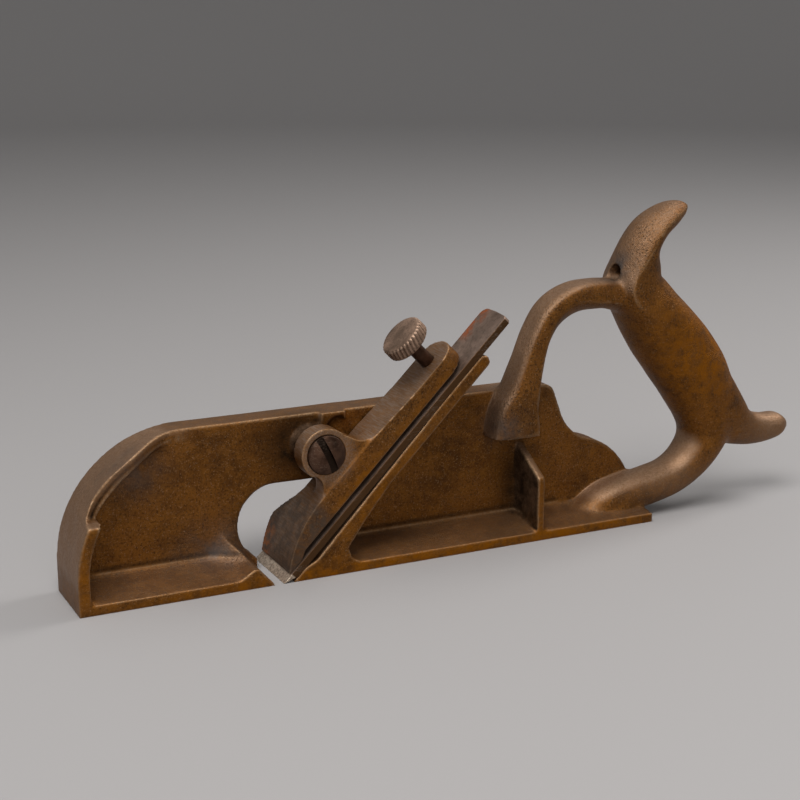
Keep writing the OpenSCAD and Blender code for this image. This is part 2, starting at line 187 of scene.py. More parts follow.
def arc(centre, radius, first, last, count):
    """Points of a circle's arc from angle first to angle last, in degrees."""
    turn = np.radians(np.linspace(first, last, count + 1))
    return np.stack([centre[0] + radius * np.cos(turn), centre[1] + radius * np.sin(turn)], axis=-1)


def on_bed(s, n):
    """Side view of a point s up the bed's slope of 45 degrees and n out of its face."""
    s, n = np.broadcast_arrays(np.asarray(s, float), np.asarray(n, float))
    return np.stack([BED_X + (s - n) * math.sqrt(0.5), (s + n) * math.sqrt(0.5)], axis=-1)


def smoothstep(value, low, high):
    """0 below low, 1 above high, and an even S-shaped rise, 3 t squared less 2 t cubed, between."""
    t = np.clip((value - low) / (high - low), 0, 1)
    return t * t * (3 - 2 * t)


def carried(rings):
    """Closed shell of a profile carried along a path: ring j holds the profile at step j.
    Each point is joined to its neighbours by four-sided faces, and a flat face closes each end."""
    steps, points = rings.shape[:2]
    index = np.arange(steps * points).reshape(steps, points)
    ahead = np.roll(index, -1, axis=1)
    sides = np.stack([index[:-1], ahead[:-1], ahead[1:], index[1:]], axis=-1).reshape(-1, 4)
    return rings.reshape(-1, 3), sides.tolist() + [index[0, ::-1].tolist(), index[-1].tolist()]


def rings_of(x, y, z):
    """Rings from their coordinates; one that is the same for each point is given as a column."""
    return np.stack(np.broadcast_arrays(x, y, z), axis=-1)


def spread(outline, y0, y1):
    """Shell of a side view that is carried straight across from y0 to y1."""
    x, z = np.asarray(outline, float).T
    return carried(rings_of(x, [[y0], [y1]], z))


def side_wall():
    """Side view as one loop: round toe, flat top, S-shaped back, and round the open throat. The
    back is three arcs, each centred beyond the last one's end by the sum of their radii, with a
    straight fall after the first."""
    fall = math.radians(BACK_FALL)
    lean = np.array([math.cos(fall), math.sin(fall)])
    down = np.array([math.sin(fall), -math.cos(fall)])
    top_end = np.array([SOLE_L - TOP_END, SIDE_H - TOP_END_R])
    hollow = top_end + TOP_END_R * lean + FALL_L * down + HOLLOW_R * lean
    toward = np.array([math.cos(math.radians(HOLLOW_END)), math.sin(math.radians(HOLLOW_END))])
    hump = hollow + (HOLLOW_R + HUMP_R) * toward
    back = arc(hump, HUMP_R, HOLLOW_END - 180, 5, 24)
    throat_centre = (MOUTH_FRONT + THROAT_R / 2, THROAT_H - THROAT_R)
    loop = np.concatenate([
        [[0, 0]],
        arc((TOE_R, SIDE_H - TOE_R), TOE_R, 180, 90, 40),
        arc(top_end, TOP_END_R, 90, BACK_FALL, 10),
        arc(hollow, HOLLOW_R, 180 + BACK_FALL, HOLLOW_END, 12),
        back[back[:, 0] < SOLE_L],
        [[SOLE_L, SOLE_T], [SOLE_L, 0], [BED_X, 0], on_bed(THROAT_H * math.sqrt(2), 0)],
        arc(throat_centre, THROAT_R, 90, 240, 30),
        [[MOUTH_FRONT, 0]]])
    return spread(loop, OPEN_W, SOLE_W)


def sole(front, behind):
    """Sole's section carried along X between two end faces, which may lean with height."""
    section = np.array([[0, 0], [SOLE_W, 0], [SOLE_W, SOLE_T + SOLE_RISE],
                        [OPEN_W, SOLE_T + SOLE_RISE], [0, SOLE_T]])
    y, z = section.T
    return carried(rings_of([front(z), behind(z)], y, z))


def toe_end():
    """Wall of even thickness carried up the toe's round outline. Above its step the near face
    runs back in a quarter ellipse and a smooth sweep to the side wall, and a groove beside a
    narrow ridge follows its inner edge and dies out near the top."""
    step_run = 5.6
    sweep_from, sweep_to = 18, 34.8
    centre = np.array([TOE_R, SIDE_H - TOE_R])
    lift = np.concatenate([np.linspace(0, centre[1], 24)[:-1], np.full(90, centre[1])])
    angle = np.radians(np.concatenate([np.full(23, 180.0), np.linspace(180, 92, 90)]))
    across = np.linspace(0, 1, 15)
    radius = TOE_R - TOE_WALL * np.concatenate([across, [1, 0]])
    x = centre[0] + radius * np.cos(angle)[:, None]
    z = lift[:, None] + radius * np.sin(angle)[:, None]
    short = TOE_WALL + step_run - np.clip(x, TOE_WALL, TOE_WALL + step_run)
    ellipse = STEP_IN * np.sqrt(np.clip(1 - (short / step_run) ** 2, 0, 1))
    sweep = (OPEN_W - STEP_IN) * smoothstep(x, sweep_from, sweep_to)
    groove = np.interp(across, [0, 0.08, 0.5, 0.68, 1], [0.2, 0, 1.1, -0.2, 0])
    fade = smoothstep(np.degrees(angle), 112, 165)[:, None]
    near = np.where(z > STEP_H, ellipse + sweep, 0)
    near[:, :15] += np.where(z[:, :15] > STEP_H, groove * fade, 0)
    near[:, 15:] = OPEN_W + 1
    return carried(rings_of(x, np.maximum(near, 0), z))


def bed_wall():
    """Inclined wall with a shallow relief in its face and a round tip, spread from the open side."""
    foot_x = on_bed(BED_FOOT_S, -BED_T - FOOT_SWELL)[0]
    tip_s = BED_L - BED_T / 2
    tip = on_bed(tip_s, -BED_T / 2)
    return spread(np.concatenate([
        [[BED_X, 0]], on_bed([6, 10, 72], [0, -RELIEF, 0]),
        arc(tip, BED_T / 2, 135, -45, 12),
        on_bed([44, 30, BED_FOOT_S], [-BED_T, -BED_T - 1.4, -BED_T - FOOT_SWELL]),
        [[foot_x + 1.2, SOLE_T + 1.6], [foot_x + 4.5, SOLE_T], [foot_x + 4.5, 0]]]),
        0, OPEN_W + LAP)


def boss():
    """Round boss for the cap screw, carried across from its seat into the side wall."""
    return spread(arc(on_bed(*PIVOT), SIDE_BOSS_R, 0, 352.5, 47), SEAT_Y, OPEN_W + 1)


def pad():
    """Thin raised strip along the wall's top that curves down to the boss at its toe-side end."""
    stands_out, top, bend_r, foot = 1.8, SIDE_H - 0.2, 5.2, 40
    x = on_bed(*PIVOT)[0]
    start, bend_x, notch, end = x + 3.8, x + 10.2, x + 11.6, x + 12.3
    return spread(np.concatenate([
        [[start, foot], [bend_x - bend_r, foot]],
        arc((bend_x, SIDE_H - 6.7), bend_r, 180, 95, 12),
        [[notch, SIDE_H - 1.4], [notch, SIDE_H - 3], [end, SIDE_H - 3], [end, top], [start, top]]]),
        OPEN_W - stands_out, OPEN_W + 1)


def rib():
    """Thin upright web across the sole near the heel, lower at the open side."""
    front = SOLE_L - RIB_BACK
    inside = OPEN_W + 1
    return carried(rings_of([[front], [front + RIB_T]], [0, 0, inside, inside],
                            [0.5, RIB_LOW, RIB_HIGH, 0.5]))


def limb(knots, flat_below=None, steps=10, around=72):
    """Rounded section carried along a smooth curve through the knots in the middle plane.
    A knot is x, z, half depth, half width, and then crease, crown and squareness, which are
    those of ROUND if they aren't given. The front of the section is a crown between two creases
    that lie at crease times the half depth: an ellipse where crown is 0.5, a parabola that meets
    the sides at an angle where it is 1. The back is a superellipse. All seven values follow a
    Catmull-Rom spline."""
    knots = np.array([(*knot, *ROUND[len(knot) - 4:]) for knot in knots], float)
    padded = np.concatenate([knots[:1], knots, knots[-1:]])
    u = np.linspace(0, len(knots) - 1, (len(knots) - 1) * steps + 1)
    i = np.minimum(u.astype(int), len(knots) - 2)
    t = (u - i)[:, None]
    a, b, c, d = padded[i], padded[i + 1], padded[i + 2], padded[i + 3]
    line = (2 * b + (c - a) * t + (2 * a - 5 * b + 4 * c - d) * t ** 2
            + (3 * b - a - 3 * c + d) * t ** 3) / 2
    x, z, half, wide, crease, crown, square = [line[:, k:k + 1] for k in range(7)]
    along = np.gradient(line[:, :2], axis=0)
    along /= np.linalg.norm(along, axis=1)[:, None]
    turn = np.arange(around) * 2 * math.pi / around
    cosine, sine = np.cos(turn), np.sin(turn)
    front = crease * half - half * (1 + crease) * np.abs(cosine) ** (2 * crown)
    back = crease * half + half * (1 - crease) * np.abs(cosine) ** (2 / square)
    deep = np.where(cosine < 0, front, back)
    side = wide * np.where(cosine < 0, sine, np.sign(sine) * np.abs(sine) ** (2 / square))
    rings = rings_of(x - along[:, 1:2] * deep, SOLE_W / 2 + side, z + along[:, 0:1] * deep)
    if flat_below is not None:
        rings[:, :, 2] = np.maximum(rings[:, :, 2], flat_below)
    return carried(rings)


def grip():
    """Horn, grip, lower bar and the half-round foot that runs out on the sole."""
    h = SOLE_L
    return limb([
        (h + 17.4, 108.1, 0.6, 1.4, 0.0, 0.6, 2.3), (h + 14.2, 107.5, 2.7, 4.8, 0.0, 0.7, 2.3),
        (h + 9.0, 105.5, 4.1, 7.8, 0.0, 0.75, 2.3), (h + 3.0, 101.7, 4.7, 9.3, 0.0, 0.8, 2.3),
        (h - 1.3, 95.9, 5.6, 9.8, 0.0, 0.8, 2.3), (h - 2.6, 89.1, 7.9, 10.0, -0.4, 0.8, 2.5),
        (h - 2.3, 81.8, 9.5, 10.3, -0.7, 0.7, 2.5), (h + 2.5, 73.6, 11.1, 11.1, -0.2, 0.5, 2.3),
        (h + 8.6, 65.5, 12.5, 11.5, 0, 0.5, 2.3), (h + 15.9, 57.0, 13.2, 11.5, 0, 0.5, 2.3),
        (h + 23.1, 47.2, 13.0, 11.5, 0, 0.5, 2.3), (h + 28.2, 36.5, 11.8, 10.6),
        (h + 28.4, 25.3, 8.7, 9.5), (h + 23.0, 17.1, 7.1, 8.5), (h + 15.1, 11.8, 6.7, 8.0),
        (h + 5.5, 9.3, 6.7, 8.0), (h - 4.9, 7.6, 6.4, 8.0), (h - 12.8, 6.3, 5.6, 7.6),
        (h - 19.5, 4.4, 3.9, 6.4), (h - 27.0, 3.2, 0.7, 2.4)], flat_below=0.8)


def arm():
    """Arm that rises from the side wall and bends over into the grip, creased along its crown."""
    h = SOLE_L
    return limb([
        (h - 50.2, 31.0, 9.0, 7.4, -0.75, 1, 5), (h - 49.7, 37.0, 8.8, 7.4, -0.74, 1, 5),
        (h - 49.1, 43.0, 7.9, 7.2, -0.71, 1, 5), (h - 47.2, 48.9, 6.1, 6.9, -0.66, 1, 4.5),
        (h - 44.9, 57.2, 4.8, 6.4, -0.62, 1, 4), (h - 42.9, 63.5, 4.3, 6.3, -0.56, 1, 4),
        (h - 40.6, 68.6, 4.3, 6.3, -0.39, 1, 4), (h - 37.0, 73.9, 4.7, 6.3, -0.19, 1, 4),
        (h - 31.9, 77.7, 4.9, 6.3, -0.08, 1, 4), (h - 26.1, 79.8, 5.0, 6.4, -0.18, 1, 4),
        (h - 20.0, 80.2, 5.0, 6.4, -0.40, 1, 4), (h - 14.0, 79.9, 5.1, 6.6, -0.45, 1, 4),
        (h - 4.0, 78.0, 6.1, 7.0, -0.4, 1, 4), (h + 4.0, 76.0, 6.1, 7.0, -0.4, 1, 4)],
        flat_below=ARM_FOOT)


def spur():
    """Spur behind the heel of the hand, blunt at its end."""
    h = SOLE_L
    return limb([
        (h + 21.0, 54.0, 9.5, 9.6), (h + 30.0, 39.5, 10.8, 10.2), (h + 38.5, 30.2, 9.2, 9.0),
        (h + 46.0, 25.9, 6.7, 7.0), (h + 54.0, 24.5, 5.5, 6.0), (h + 61.0, 25.1, 4.5, 5.4),
        (h + 64.6, 25.3, 2.2, 3.0)])


def joined(name, shells):
    """One mesh object, in metres in the model's frame, from closed shells in millimetres."""
    points, faces, start = [], [], 0
    for co, quads in shells:
        points.append(co)
        faces += [[start + k for k in face] for face in quads]
        start += len(co)
    mesh = bpy.data.meshes.new(name)
    mesh.from_pydata((np.concatenate(points) + CORNER) / 1000, [], faces)
    work = bmesh.new()
    work.from_mesh(mesh)
    bmesh.ops.recalc_face_normals(work, faces=work.faces)
    work.to_mesh(mesh)
    work.free()
    piece = bpy.data.objects.new(name, mesh)
    bpy.context.scene.collection.objects.link(piece)
    return piece


def applied(piece):
    """Puts the result of a piece's modifiers into its mesh and removes them."""
    shown = piece.evaluated_get(bpy.context.evaluated_depsgraph_get())
    result = bpy.data.meshes.new_from_object(shown)
    piece.modifiers.clear()
    old, piece.data = piece.data, result
    bpy.data.meshes.remove(old)
    return piece


def melted(piece, voxel):
    """Melts overlapping shells into one closed skin of small quads, voxel millimetres wide."""
    change = piece.modifiers.new("melt", "REMESH")
    change.mode = "VOXEL"
    change.voxel_size = voxel / 1000
    change.adaptivity = 0
    return applied(piece)


def cut(piece, shell):
    """Takes a closed shell away from a piece."""
    tool = joined("cutter", [shell])
    change = piece.modifiers.new("cut", "BOOLEAN")
    change.operation = "DIFFERENCE"
    change.solver = "EXACT"
    change.object = tool
    applied(piece)
    mesh = tool.data
    bpy.data.objects.remove(tool)
    bpy.data.meshes.remove(mesh)
    return piece


def thinned(piece, share):
    """Merges the smallest faces until this share is left; edges and corners keep their points."""
    change = piece.modifiers.new("thin", "DECIMATE")
    change.ratio = share
    return applied(piece)


def fetched(items, name, width=1, kind=np.int32):
    """One property of all the vertices, edges or faces of a mesh, as an array."""
    values = np.empty(len(items) * width, kind)
    items.foreach_get(name, values)
    return values


def read_skin(mesh):
    """Vertices in millimetres, edges, and faces as rows of four (three-sided ones repeat a corner)."""
    co = fetched(mesh.vertices, "co", 3, np.float32)
    edges = fetched(mesh.edges, "vertices", 2)
    starts = fetched(mesh.polygons, "loop_start")
    totals = fetched(mesh.polygons, "loop_total")
    loops = fetched(mesh.loops, "vertex_index")
    corners = loops[starts[:, None] + np.minimum(np.arange(4), totals[:, None] - 1)]
    return co.reshape(-1, 3).astype(float) * 1000 - CORNER, edges.reshape(-1, 2), corners


def gathered(index, values, count):
    """Sum of rows of values that share an index, for all columns at once."""
    return np.stack([np.bincount(index, values[:, k], count) for k in range(values.shape[1])], axis=-1)


def normals_of(co, corners):
    """Vertex normals: the cross product of each face's diagonals, summed at its corners."""
    cross = np.cross(co[corners[:, 2]] - co[corners[:, 0]], co[corners[:, 3]] - co[corners[:, 1]])
    total = gathered(corners.ravel(), np.repeat(cross, 4, axis=0), len(co))
    return total / np.maximum(np.linalg.norm(total, axis=1), 1e-12)[:, None]


def neighbours(edges, points):
    """Each edge from both its ends: the end, the other end, and how many edges each vertex has."""
    ends = edges.T.ravel()
    return ends, edges[:, ::-1].T.ravel(), np.maximum(np.bincount(ends, minlength=points), 1)


def pull(co, edges):
    """Mean of each vertex's neighbours, less the vertex itself."""
    ends, others, count = neighbours(edges, len(co))
    return gathered(ends, co[others], len(co)) / count[:, None] - co


def rise_of(co, edges, normal):
    """How far each vertex lies below its neighbours' mean: above 0 in a hollow, below on an edge."""
    return (pull(co, edges) * normal).sum(axis=1)


def evened(value, edges, times):
    """Evens out a value over the skin by averaging it with its neighbours."""
    ends, others, count = neighbours(edges, len(value))
    for _ in range(times):
        value = 0.5 * value + 0.5 * np.bincount(ends, value[others], len(value)) / count
    return value


def filleted(co, edges, corners, even_rounds, fill_rounds, strength):
    """Evens out the steps of melting by pulling each vertex to its neighbours and back, then
    fills the hollows alone, round by round, by the strength given for each vertex."""
    for _ in range(even_rounds):
        co = co + 0.5 * pull(co, edges)
        co = co - 0.52 * pull(co, edges)
    for turn in range(fill_rounds):
        if turn % 6 == 0:
            normal = normals_of(co, corners)
        rise = rise_of(co, edges, normal)
        co = co + normal * (np.clip(rise, 0, None) * strength)[:, None]
    return co


def write_skin(mesh, co):
    """Moves the vertices to places given in millimetres."""
    mesh.vertices.foreach_set("co", ((co + CORNER) / 1000).astype(np.float32).ravel())
    mesh.update()


def set_value(mesh, name, value):
    """Stores one number from 0 to 1 for each vertex, as a mask for the material."""
    attribute = mesh.attributes.new(name, "FLOAT", "POINT")
    attribute.data.foreach_set("value", np.clip(value, 0, 1).astype(np.float32))


def blob(co, centre, reach):
    """Mask that is 1 at a place and dies away over a distance, given for X, Y and Z."""
    gap = (co - np.array(centre)) / np.array(reach)
    return np.exp(-(gap ** 2).sum(axis=1))


def spots(co, *rows):
    """Sum of such masks; a row is one's strength, its place and its reach."""
    return sum(strength * blob(co, place, reach) for strength, place, reach in rows)


def band(value, middle, width):
    """Mask that is 1 at a middle value and dies away in a bell curve on both sides."""
    return np.exp(-((value - middle) / width) ** 2)


def slope_of(co):
    """Distance up the bed and out of its face, for each point."""
    x, _, z = co.T
    return (x - BED_X + z) * math.sqrt(0.5), (z - x + BED_X) * math.sqrt(0.5)


def swell(co, waves, height):
    """Slow unevenness of a surface made by hand: a sum of sine waves, each with its own way."""
    total = np.zeros(len(co))
    for k, (length, way) in enumerate(waves):
        total += np.sin(co @ np.array(way) * 2 * math.pi / length + 1.7 * k)
    return total * height / len(waves)


def lip_shoulder():
    """Ramp that rises from the lip to the side wall along the throat's round front. Each step
    across is a wedge, and its height and length grow with the square of the distance."""
    base, rise = 3, 9.5
    first_y, first_run, more_run = 4.5, 5, 9
    t = np.linspace(0, 1, 14)
    top = LIP_H - 0.1 + rise * t ** 2
    z = base + (top - base)[:, None] * np.linspace(0, 1, 10)
    throat = MOUTH_FRONT + THROAT_R / 2 - np.sqrt(THROAT_R ** 2 - (THROAT_H - THROAT_R - z) ** 2)
    foot = MOUTH_FRONT - LIP_LEAN * LIP_H - first_run - more_run * t ** 2
    x = np.column_stack([foot, np.minimum(throat, MOUTH_FRONT - LIP_LEAN * z)])
    z = np.column_stack([0 * t + base, z])
    return carried(rings_of(x, (first_y + (OPEN_W - 4) * t)[:, None], z))


def hang_hole():
    """Cutter for the hang hole, along X through the horn. Its first two rings are wider and a
    little lower, as the hole is where it opens over the hand."""
    reach = np.array([[-13], [-10.5], [-8.0], [15]])
    radius = np.array([[HANG_SINK_R], [HANG_SINK_R], [HANG_R], [HANG_R]])
    drop = np.array([[0.5], [0.5], [0], [0]])
    y, z = arc((0, 0), 1.0, 0, 345, 23).T
    return carried(rings_of(SOLE_L + reach, y * radius + SOLE_W / 2, z * radius + HANG_H - drop))


def casting_shells():
    """Every shell of the casting; the sole is one before the mouth and one behind it."""
    lip_x = MOUTH_FRONT - LIP_LEAN * LIP_H
    foot_x = lip_x - 6.8
    lip = [[MOUTH_FRONT, 0], [lip_x, LIP_H], [lip_x - 2, LIP_H], [foot_x, SOLE_T], [foot_x, 0]]
    return [
        side_wall(),
        sole(lambda z: 0 * z, lambda z: MOUTH_FRONT - LIP_LEAN * z),
        sole(lambda z: BED_X + z + LAP, lambda z: SOLE_L + 0 * z),
        spread(lip, 0, OPEN_W + 1),
        toe_end(), lip_shoulder(), bed_wall(), boss(), pad(), rib(), grip(), arm(), spur()]


def fillet_strength(co, edges, bed):
    """How fast a hollow fills at each vertex, from 0 to 1: a little everywhere, more where the
    limbs meet the body and beside the lip, and not at all on the bed."""
    h = SOLE_L
    strength = 0.25 + blob(co, (h - 48, 14, 44), (16, 9, 12)) + blob(co, (h - 6, 12, 70), (12, 14, 7))
    strength += 1.2 * blob(co, (h + 38, 12, 32), (18, 14, 18)) + blob(co, (h - 14, 12, 6), (18, 12, 8))
    low_toe = (co[:, 2] < 12) * (co[:, 0] < 50)
    strength += blob(co, (49, 14, 9), (14, 14, 10)) + 0.35 * low_toe
    return np.clip(evened(np.where(bed, 0, strength), edges, 4), 0, 1) * ~bed


def paint_casting(mesh, first, co, edges, normal):
    """Masks of the bronze's wear and colours, and of painted light, shade and highlights: sums of soft
    spots, bands and slopes that face one way. Bands and steps go by the places that the vertices had
    before filleting, called first."""
    h = SOLE_L
    x, y, z = first.T
    rise = evened(rise_of(co, edges, normal), edges, 1)
    handle = smoothstep(x, h - 62, h - 50) * smoothstep(z, 32, 38)
    wall_top = smoothstep(z, SIDE_H - 0.8, SIDE_H - 0.3) * smoothstep(x, 24, 40) * (1 - handle)
    off_slope = np.abs(slope_of(first)[0]) > 4
    # Along the wall's foot above the sole: a painted highlight line, and a painted shade line just above
    # it.
    foot_line = smoothstep(x, 5, 12) * (x < h - 30) * smoothstep(y, 9, 12) * off_slope
    # The toe's near face above the step: painted light on it, a painted highlight along its inner edge
    # and painted shade in the groove beside it.
    rim = TOE_R - np.hypot(x - TOE_R, z - SIDE_H + TOE_R)
    near_toe = (x < TOE_R) * (rim < 5) * smoothstep(z, STEP_H, STEP_H + 1)
    near_toe = near_toe * smoothstep(-normal[:, 1], 0.2, 0.6)
    # Wear and painted highlights: bright lines on sharp edges, more on the handle and less by the lip.
    wear_and_highlight = 0.6 * smoothstep(-rise, 0.018, 0.07) + 0.3 * handle * smoothstep(-rise, 0.012, 0.035)
    wear_and_highlight = wear_and_highlight * (1 - 0.7 * blob(co, (47, 15, 10), (12, 9, 9)))
    wear_and_highlight = wear_and_highlight + 0.5 * near_toe * band(rim, 3.0, 0.4)
    set_value(mesh, "wear_and_highlight", wear_and_highlight + 0.35 * foot_line * band(z, 6.9, 0.4))
    # Painted shadow: the rib's toe-side face, which the lamps don't reach, a spot on the web by the rib's
    # foot and one on the boss behind the cap are darkened.
    rib_face_shade = smoothstep(-normal[:, 0], 0.5, 0.9) * blob(co, (h - RIB_BACK, 8, 14), (2.5, 14, 16))
    painted_shadow_spots = spots(co, (1, (h - 49, 15, 16), (4, 5, 12)), (1.7, (75, 13, 41), (10, 7, 11)))
    # Dirt and painted shade: hollows darkened by their depth, the painted shadows above, and painted
    # shade in the toe's groove and along the wall's foot.
    grime_and_shade = evened(smoothstep(rise, 0.004, 0.03), edges, 14) * 1.5 + 2 * rib_face_shade + 0.8 * painted_shadow_spots
    grime_and_shade = grime_and_shade + near_toe * band(rim, 1.9, 0.5) * smoothstep(-x, -26, -14)
    set_value(mesh, "grime_and_shade", grime_and_shade + 0.7 * foot_line * band(z, 8.2, 0.8))
    # Painted light: faces that look up and toward the toe are made lighter, as lit from above, less so
    # low down, on the wall's top, high on the horn and by the spur's root; painted light spots on the
    # spur's end and on the bar.
    painted_light = smoothstep(0.75 * normal[:, 2] - 0.68 * normal[:, 0], 0.4, 0.8)
    painted_light = painted_light * (0.35 + 0.65 * smoothstep(z, 7, 10))
    painted_light = painted_light * (1 - 0.6 * wall_top - 0.3 * smoothstep(z, 84, 92))
    painted_light = painted_light * (1 - 0.5 * blob(co, (h + 30, 12, 55), (16, 20, 24)))
    painted_light = painted_light + spots(co, (1, (h + 57, 10, 28), (12, 10, 8)), (0.5, (h + 22, 12, 8), (20, 12, 8)),
                        (0.35, (h + 4, 5, 14), (16, 6, 6)))
    set_value(mesh, "painted_light", painted_light + 0.45 * near_toe * smoothstep(-rim, -1.9, -1.2))
    set_value(mesh, "rough", 0.4 + 0.6 * handle * smoothstep(z, 30, 50)
              + 0.6 * blob(co, (h - 54, 10, 40), (8, 9, 9)))
    tongue_x, tongue_z = on_bed(BED_L, -BED_T / 2)
    ochre = spots(co, (1, (h + 34, 10, 58), (14, 22, 20)), (0.8, (h + 14, 3, 62), (16, 12, 22)),
                  (0.7, (104, 3, 24), (22, 5, 17)), (0.5, (h - 45, 0, 12), (3, 3, 12)),
                  (0.8, (tongue_x, 8, tongue_z), (4, 12, 4)), (0.5, (2, 0, 14), (4, 3, 12)))
    ochre = ochre + 0.16 * smoothstep(-normal[:, 1], 0.5, 0.9) * (1 - handle)
    sole_edge = smoothstep(-y, -0.8, -0.2) * smoothstep(-z, -3.6, -3) * smoothstep(x, 10, 60)
    set_value(mesh, "ochre", ochre + 0.8 * sole_edge)
    set_value(mesh, "stained", spots(
        co, (1, (22, 12, 38), (9, 6, 8)), (1, (h - 55, 9, 38), (5, 9, 6)),
        (1.4, (h - 10, 11.5, 89), (7, 5, 4.6)), (0.9, (49, 15, 9), (11, 8, 8))))


def make_casting():
    """Melts the shells, cuts the hang hole, fillets the hollows, adds the unevenness of a casting
    everywhere but on the flat faces, and paints the masks."""
    skin = joined("casting", casting_shells())
    melted(skin, 0.5)
    cut(skin, hang_hole())
    melted(skin, 0.5)
    first, edges, corners = read_skin(skin.data)
    s, n = slope_of(first)
    bed = (n > -1.6) & (n < 1.5) & (s > -3)
    co = filleted(first, edges, corners, 5, 54, fillet_strength(first, edges, bed))
    normal = normals_of(co, corners)
    flat = (first[:, 2] < 0.4) | (first[:, 1] < 0.5) | (first[:, 1] > SOLE_W - 0.4) | bed
    waves = [(23, (1, 0.3, 0.5)), (31, (-0.4, 0.6, 1)), (13, (0.7, -0.8, 0.6)), (9, (0.2, 0.9, -0.9))]
    co = co + normal * (swell(co, waves, 0.1) * (1 - evened(flat.astype(float), edges, 6)))[:, None]
    co[:, 0] = np.maximum(co[:, 0], 0)
    co[:, 1] = np.minimum(co[:, 1], SOLE_W)
    co[:, 2] = np.clip(co[:, 2], 0, HORN_TOP)
    write_skin(skin.data, co)
    paint_casting(skin.data, first, co, edges, normal)
    thinned(skin, 0.45)
    skin.data.shade_smooth()
    return skin


def attach(socket, value):
    """Links a value to a socket, or sets it where it is a plain number or colour."""
    if isinstance(value, bpy.types.NodeSocket):
        socket.id_data.links.new(value, socket)
    else:
        socket.default_value = value


def add(near, kind, shared=None, **inputs):
    """New node in the tree of a socket called near. Its inputs, by name with spaces as
    underscores, are linked or set; a group node stands for the shared group."""
    made = near.id_data.nodes.new(kind)
    if shared:
        made.node_tree = shared
    for key, value in inputs.items():
        attach(made.inputs[key.replace("_", " ")], value)
    return made


def blend(factor, first, second):
    """Colour mix from first to second."""
    made = add(factor, "ShaderNodeMix")
    made.data_type = "RGBA"
    for number, value in ((0, factor), (6, first), (7, second)):
        attach(made.inputs[number], value)
    return made.outputs[2]


def calc(operation, first, second=0.0):
    """Result of one operation on two values."""
    made = add(first, "ShaderNodeMath")
    made.operation = operation
    attach(made.inputs[0], first)
    attach(made.inputs[1], second)
    return made.outputs[0]


def scaled(first, second):
    """Product of two values."""
    return calc("MULTIPLY", first, second)


def between(value, low, high, start=0.0, end=1.0):
    """Value from start to end as the given one goes from low to high, and level beyond."""
    return add(value, "ShaderNodeMapRange", Value=value, From_Min=low, From_Max=high,
               To_Min=start, To_Max=end).outputs[0]


def cloud(place, per_metre, detail=3.0, roughness=0.55):
    """Noise with this many cells per metre."""
    return add(place, "ShaderNodeTexNoise", Vector=place, Scale=per_metre,
               Detail=detail, Roughness=roughness).outputs["Fac"]


def turned(place, angles, scale):
    """Coordinates turned, in degrees, and stretched."""
    return add(place, "ShaderNodeMapping", Vector=place, Scale=scale,
               Rotation=[math.radians(k) for k in angles]).outputs[0]


def mask(place, name):
    """One of the masks that the piece's mesh holds, in the tree of the place."""
    made = add(place, "ShaderNodeAttribute")
    made.attribute_name = name
    return made.outputs["Fac"]


def group(name, inputs, outputs, build):
    """Shader node group of a place, values and a colour; build makes its results from the given
    sockets."""
    kinds = {"Place": "NodeSocketVector", "Colour": "NodeSocketColor"}
    tree = bpy.data.node_groups.new(name, "ShaderNodeTree")
    for way, titles in (("INPUT", inputs), ("OUTPUT", outputs)):
        for title in titles:
            kind = kinds.get(title, "NodeSocketFloat")
            tree.interface.new_socket(title, in_out=way, socket_type=kind)
    result = tree.nodes.new("NodeGroupOutput")
    for title, value in build(tree.nodes.new("NodeGroupInput").outputs).items():
        attach(result.inputs[title], value)
    return tree


def build_grain(given):
    """Cast skin: a height of uneven lumps, and small round pits that lie in patches."""
    place = given["Place"]
    lumps = cloud(place, 1300, 4, 0.7)
    cells = add(place, "ShaderNodeTexVoronoi", Vector=place, Scale=1300)
    patches = cloud(place, 120, 3)
    pit = scaled(between(cells.outputs["Distance"], 0.34, 0.14), between(patches, 0.36, 0.6))
    return {"Height": calc("SUBTRACT", lumps, scaled(pit, 0.6)), "Pits": pit}


def build_scratches(given):
    """Fine lines in three directions: the places where stretched noise crosses its middle value."""
    place = given["Place"]
    total = None
    for angle, size in ((12, 900), (-34, 700), (58, 800)):
        lines = cloud(turned(place, (0, angle, 0), (0.12, 1, 1)), size, 2)
        thin = between(calc("ABSOLUTE", calc("SUBTRACT", lines, 0.56)), 0.0, 0.008, 1, 0)
        total = thin if total is None else calc("MAXIMUM", total, thin)
    patchy = between(cloud(place, 60, 2), 0.45, 0.65)
    return {"Lines": scaled(total, patchy)}


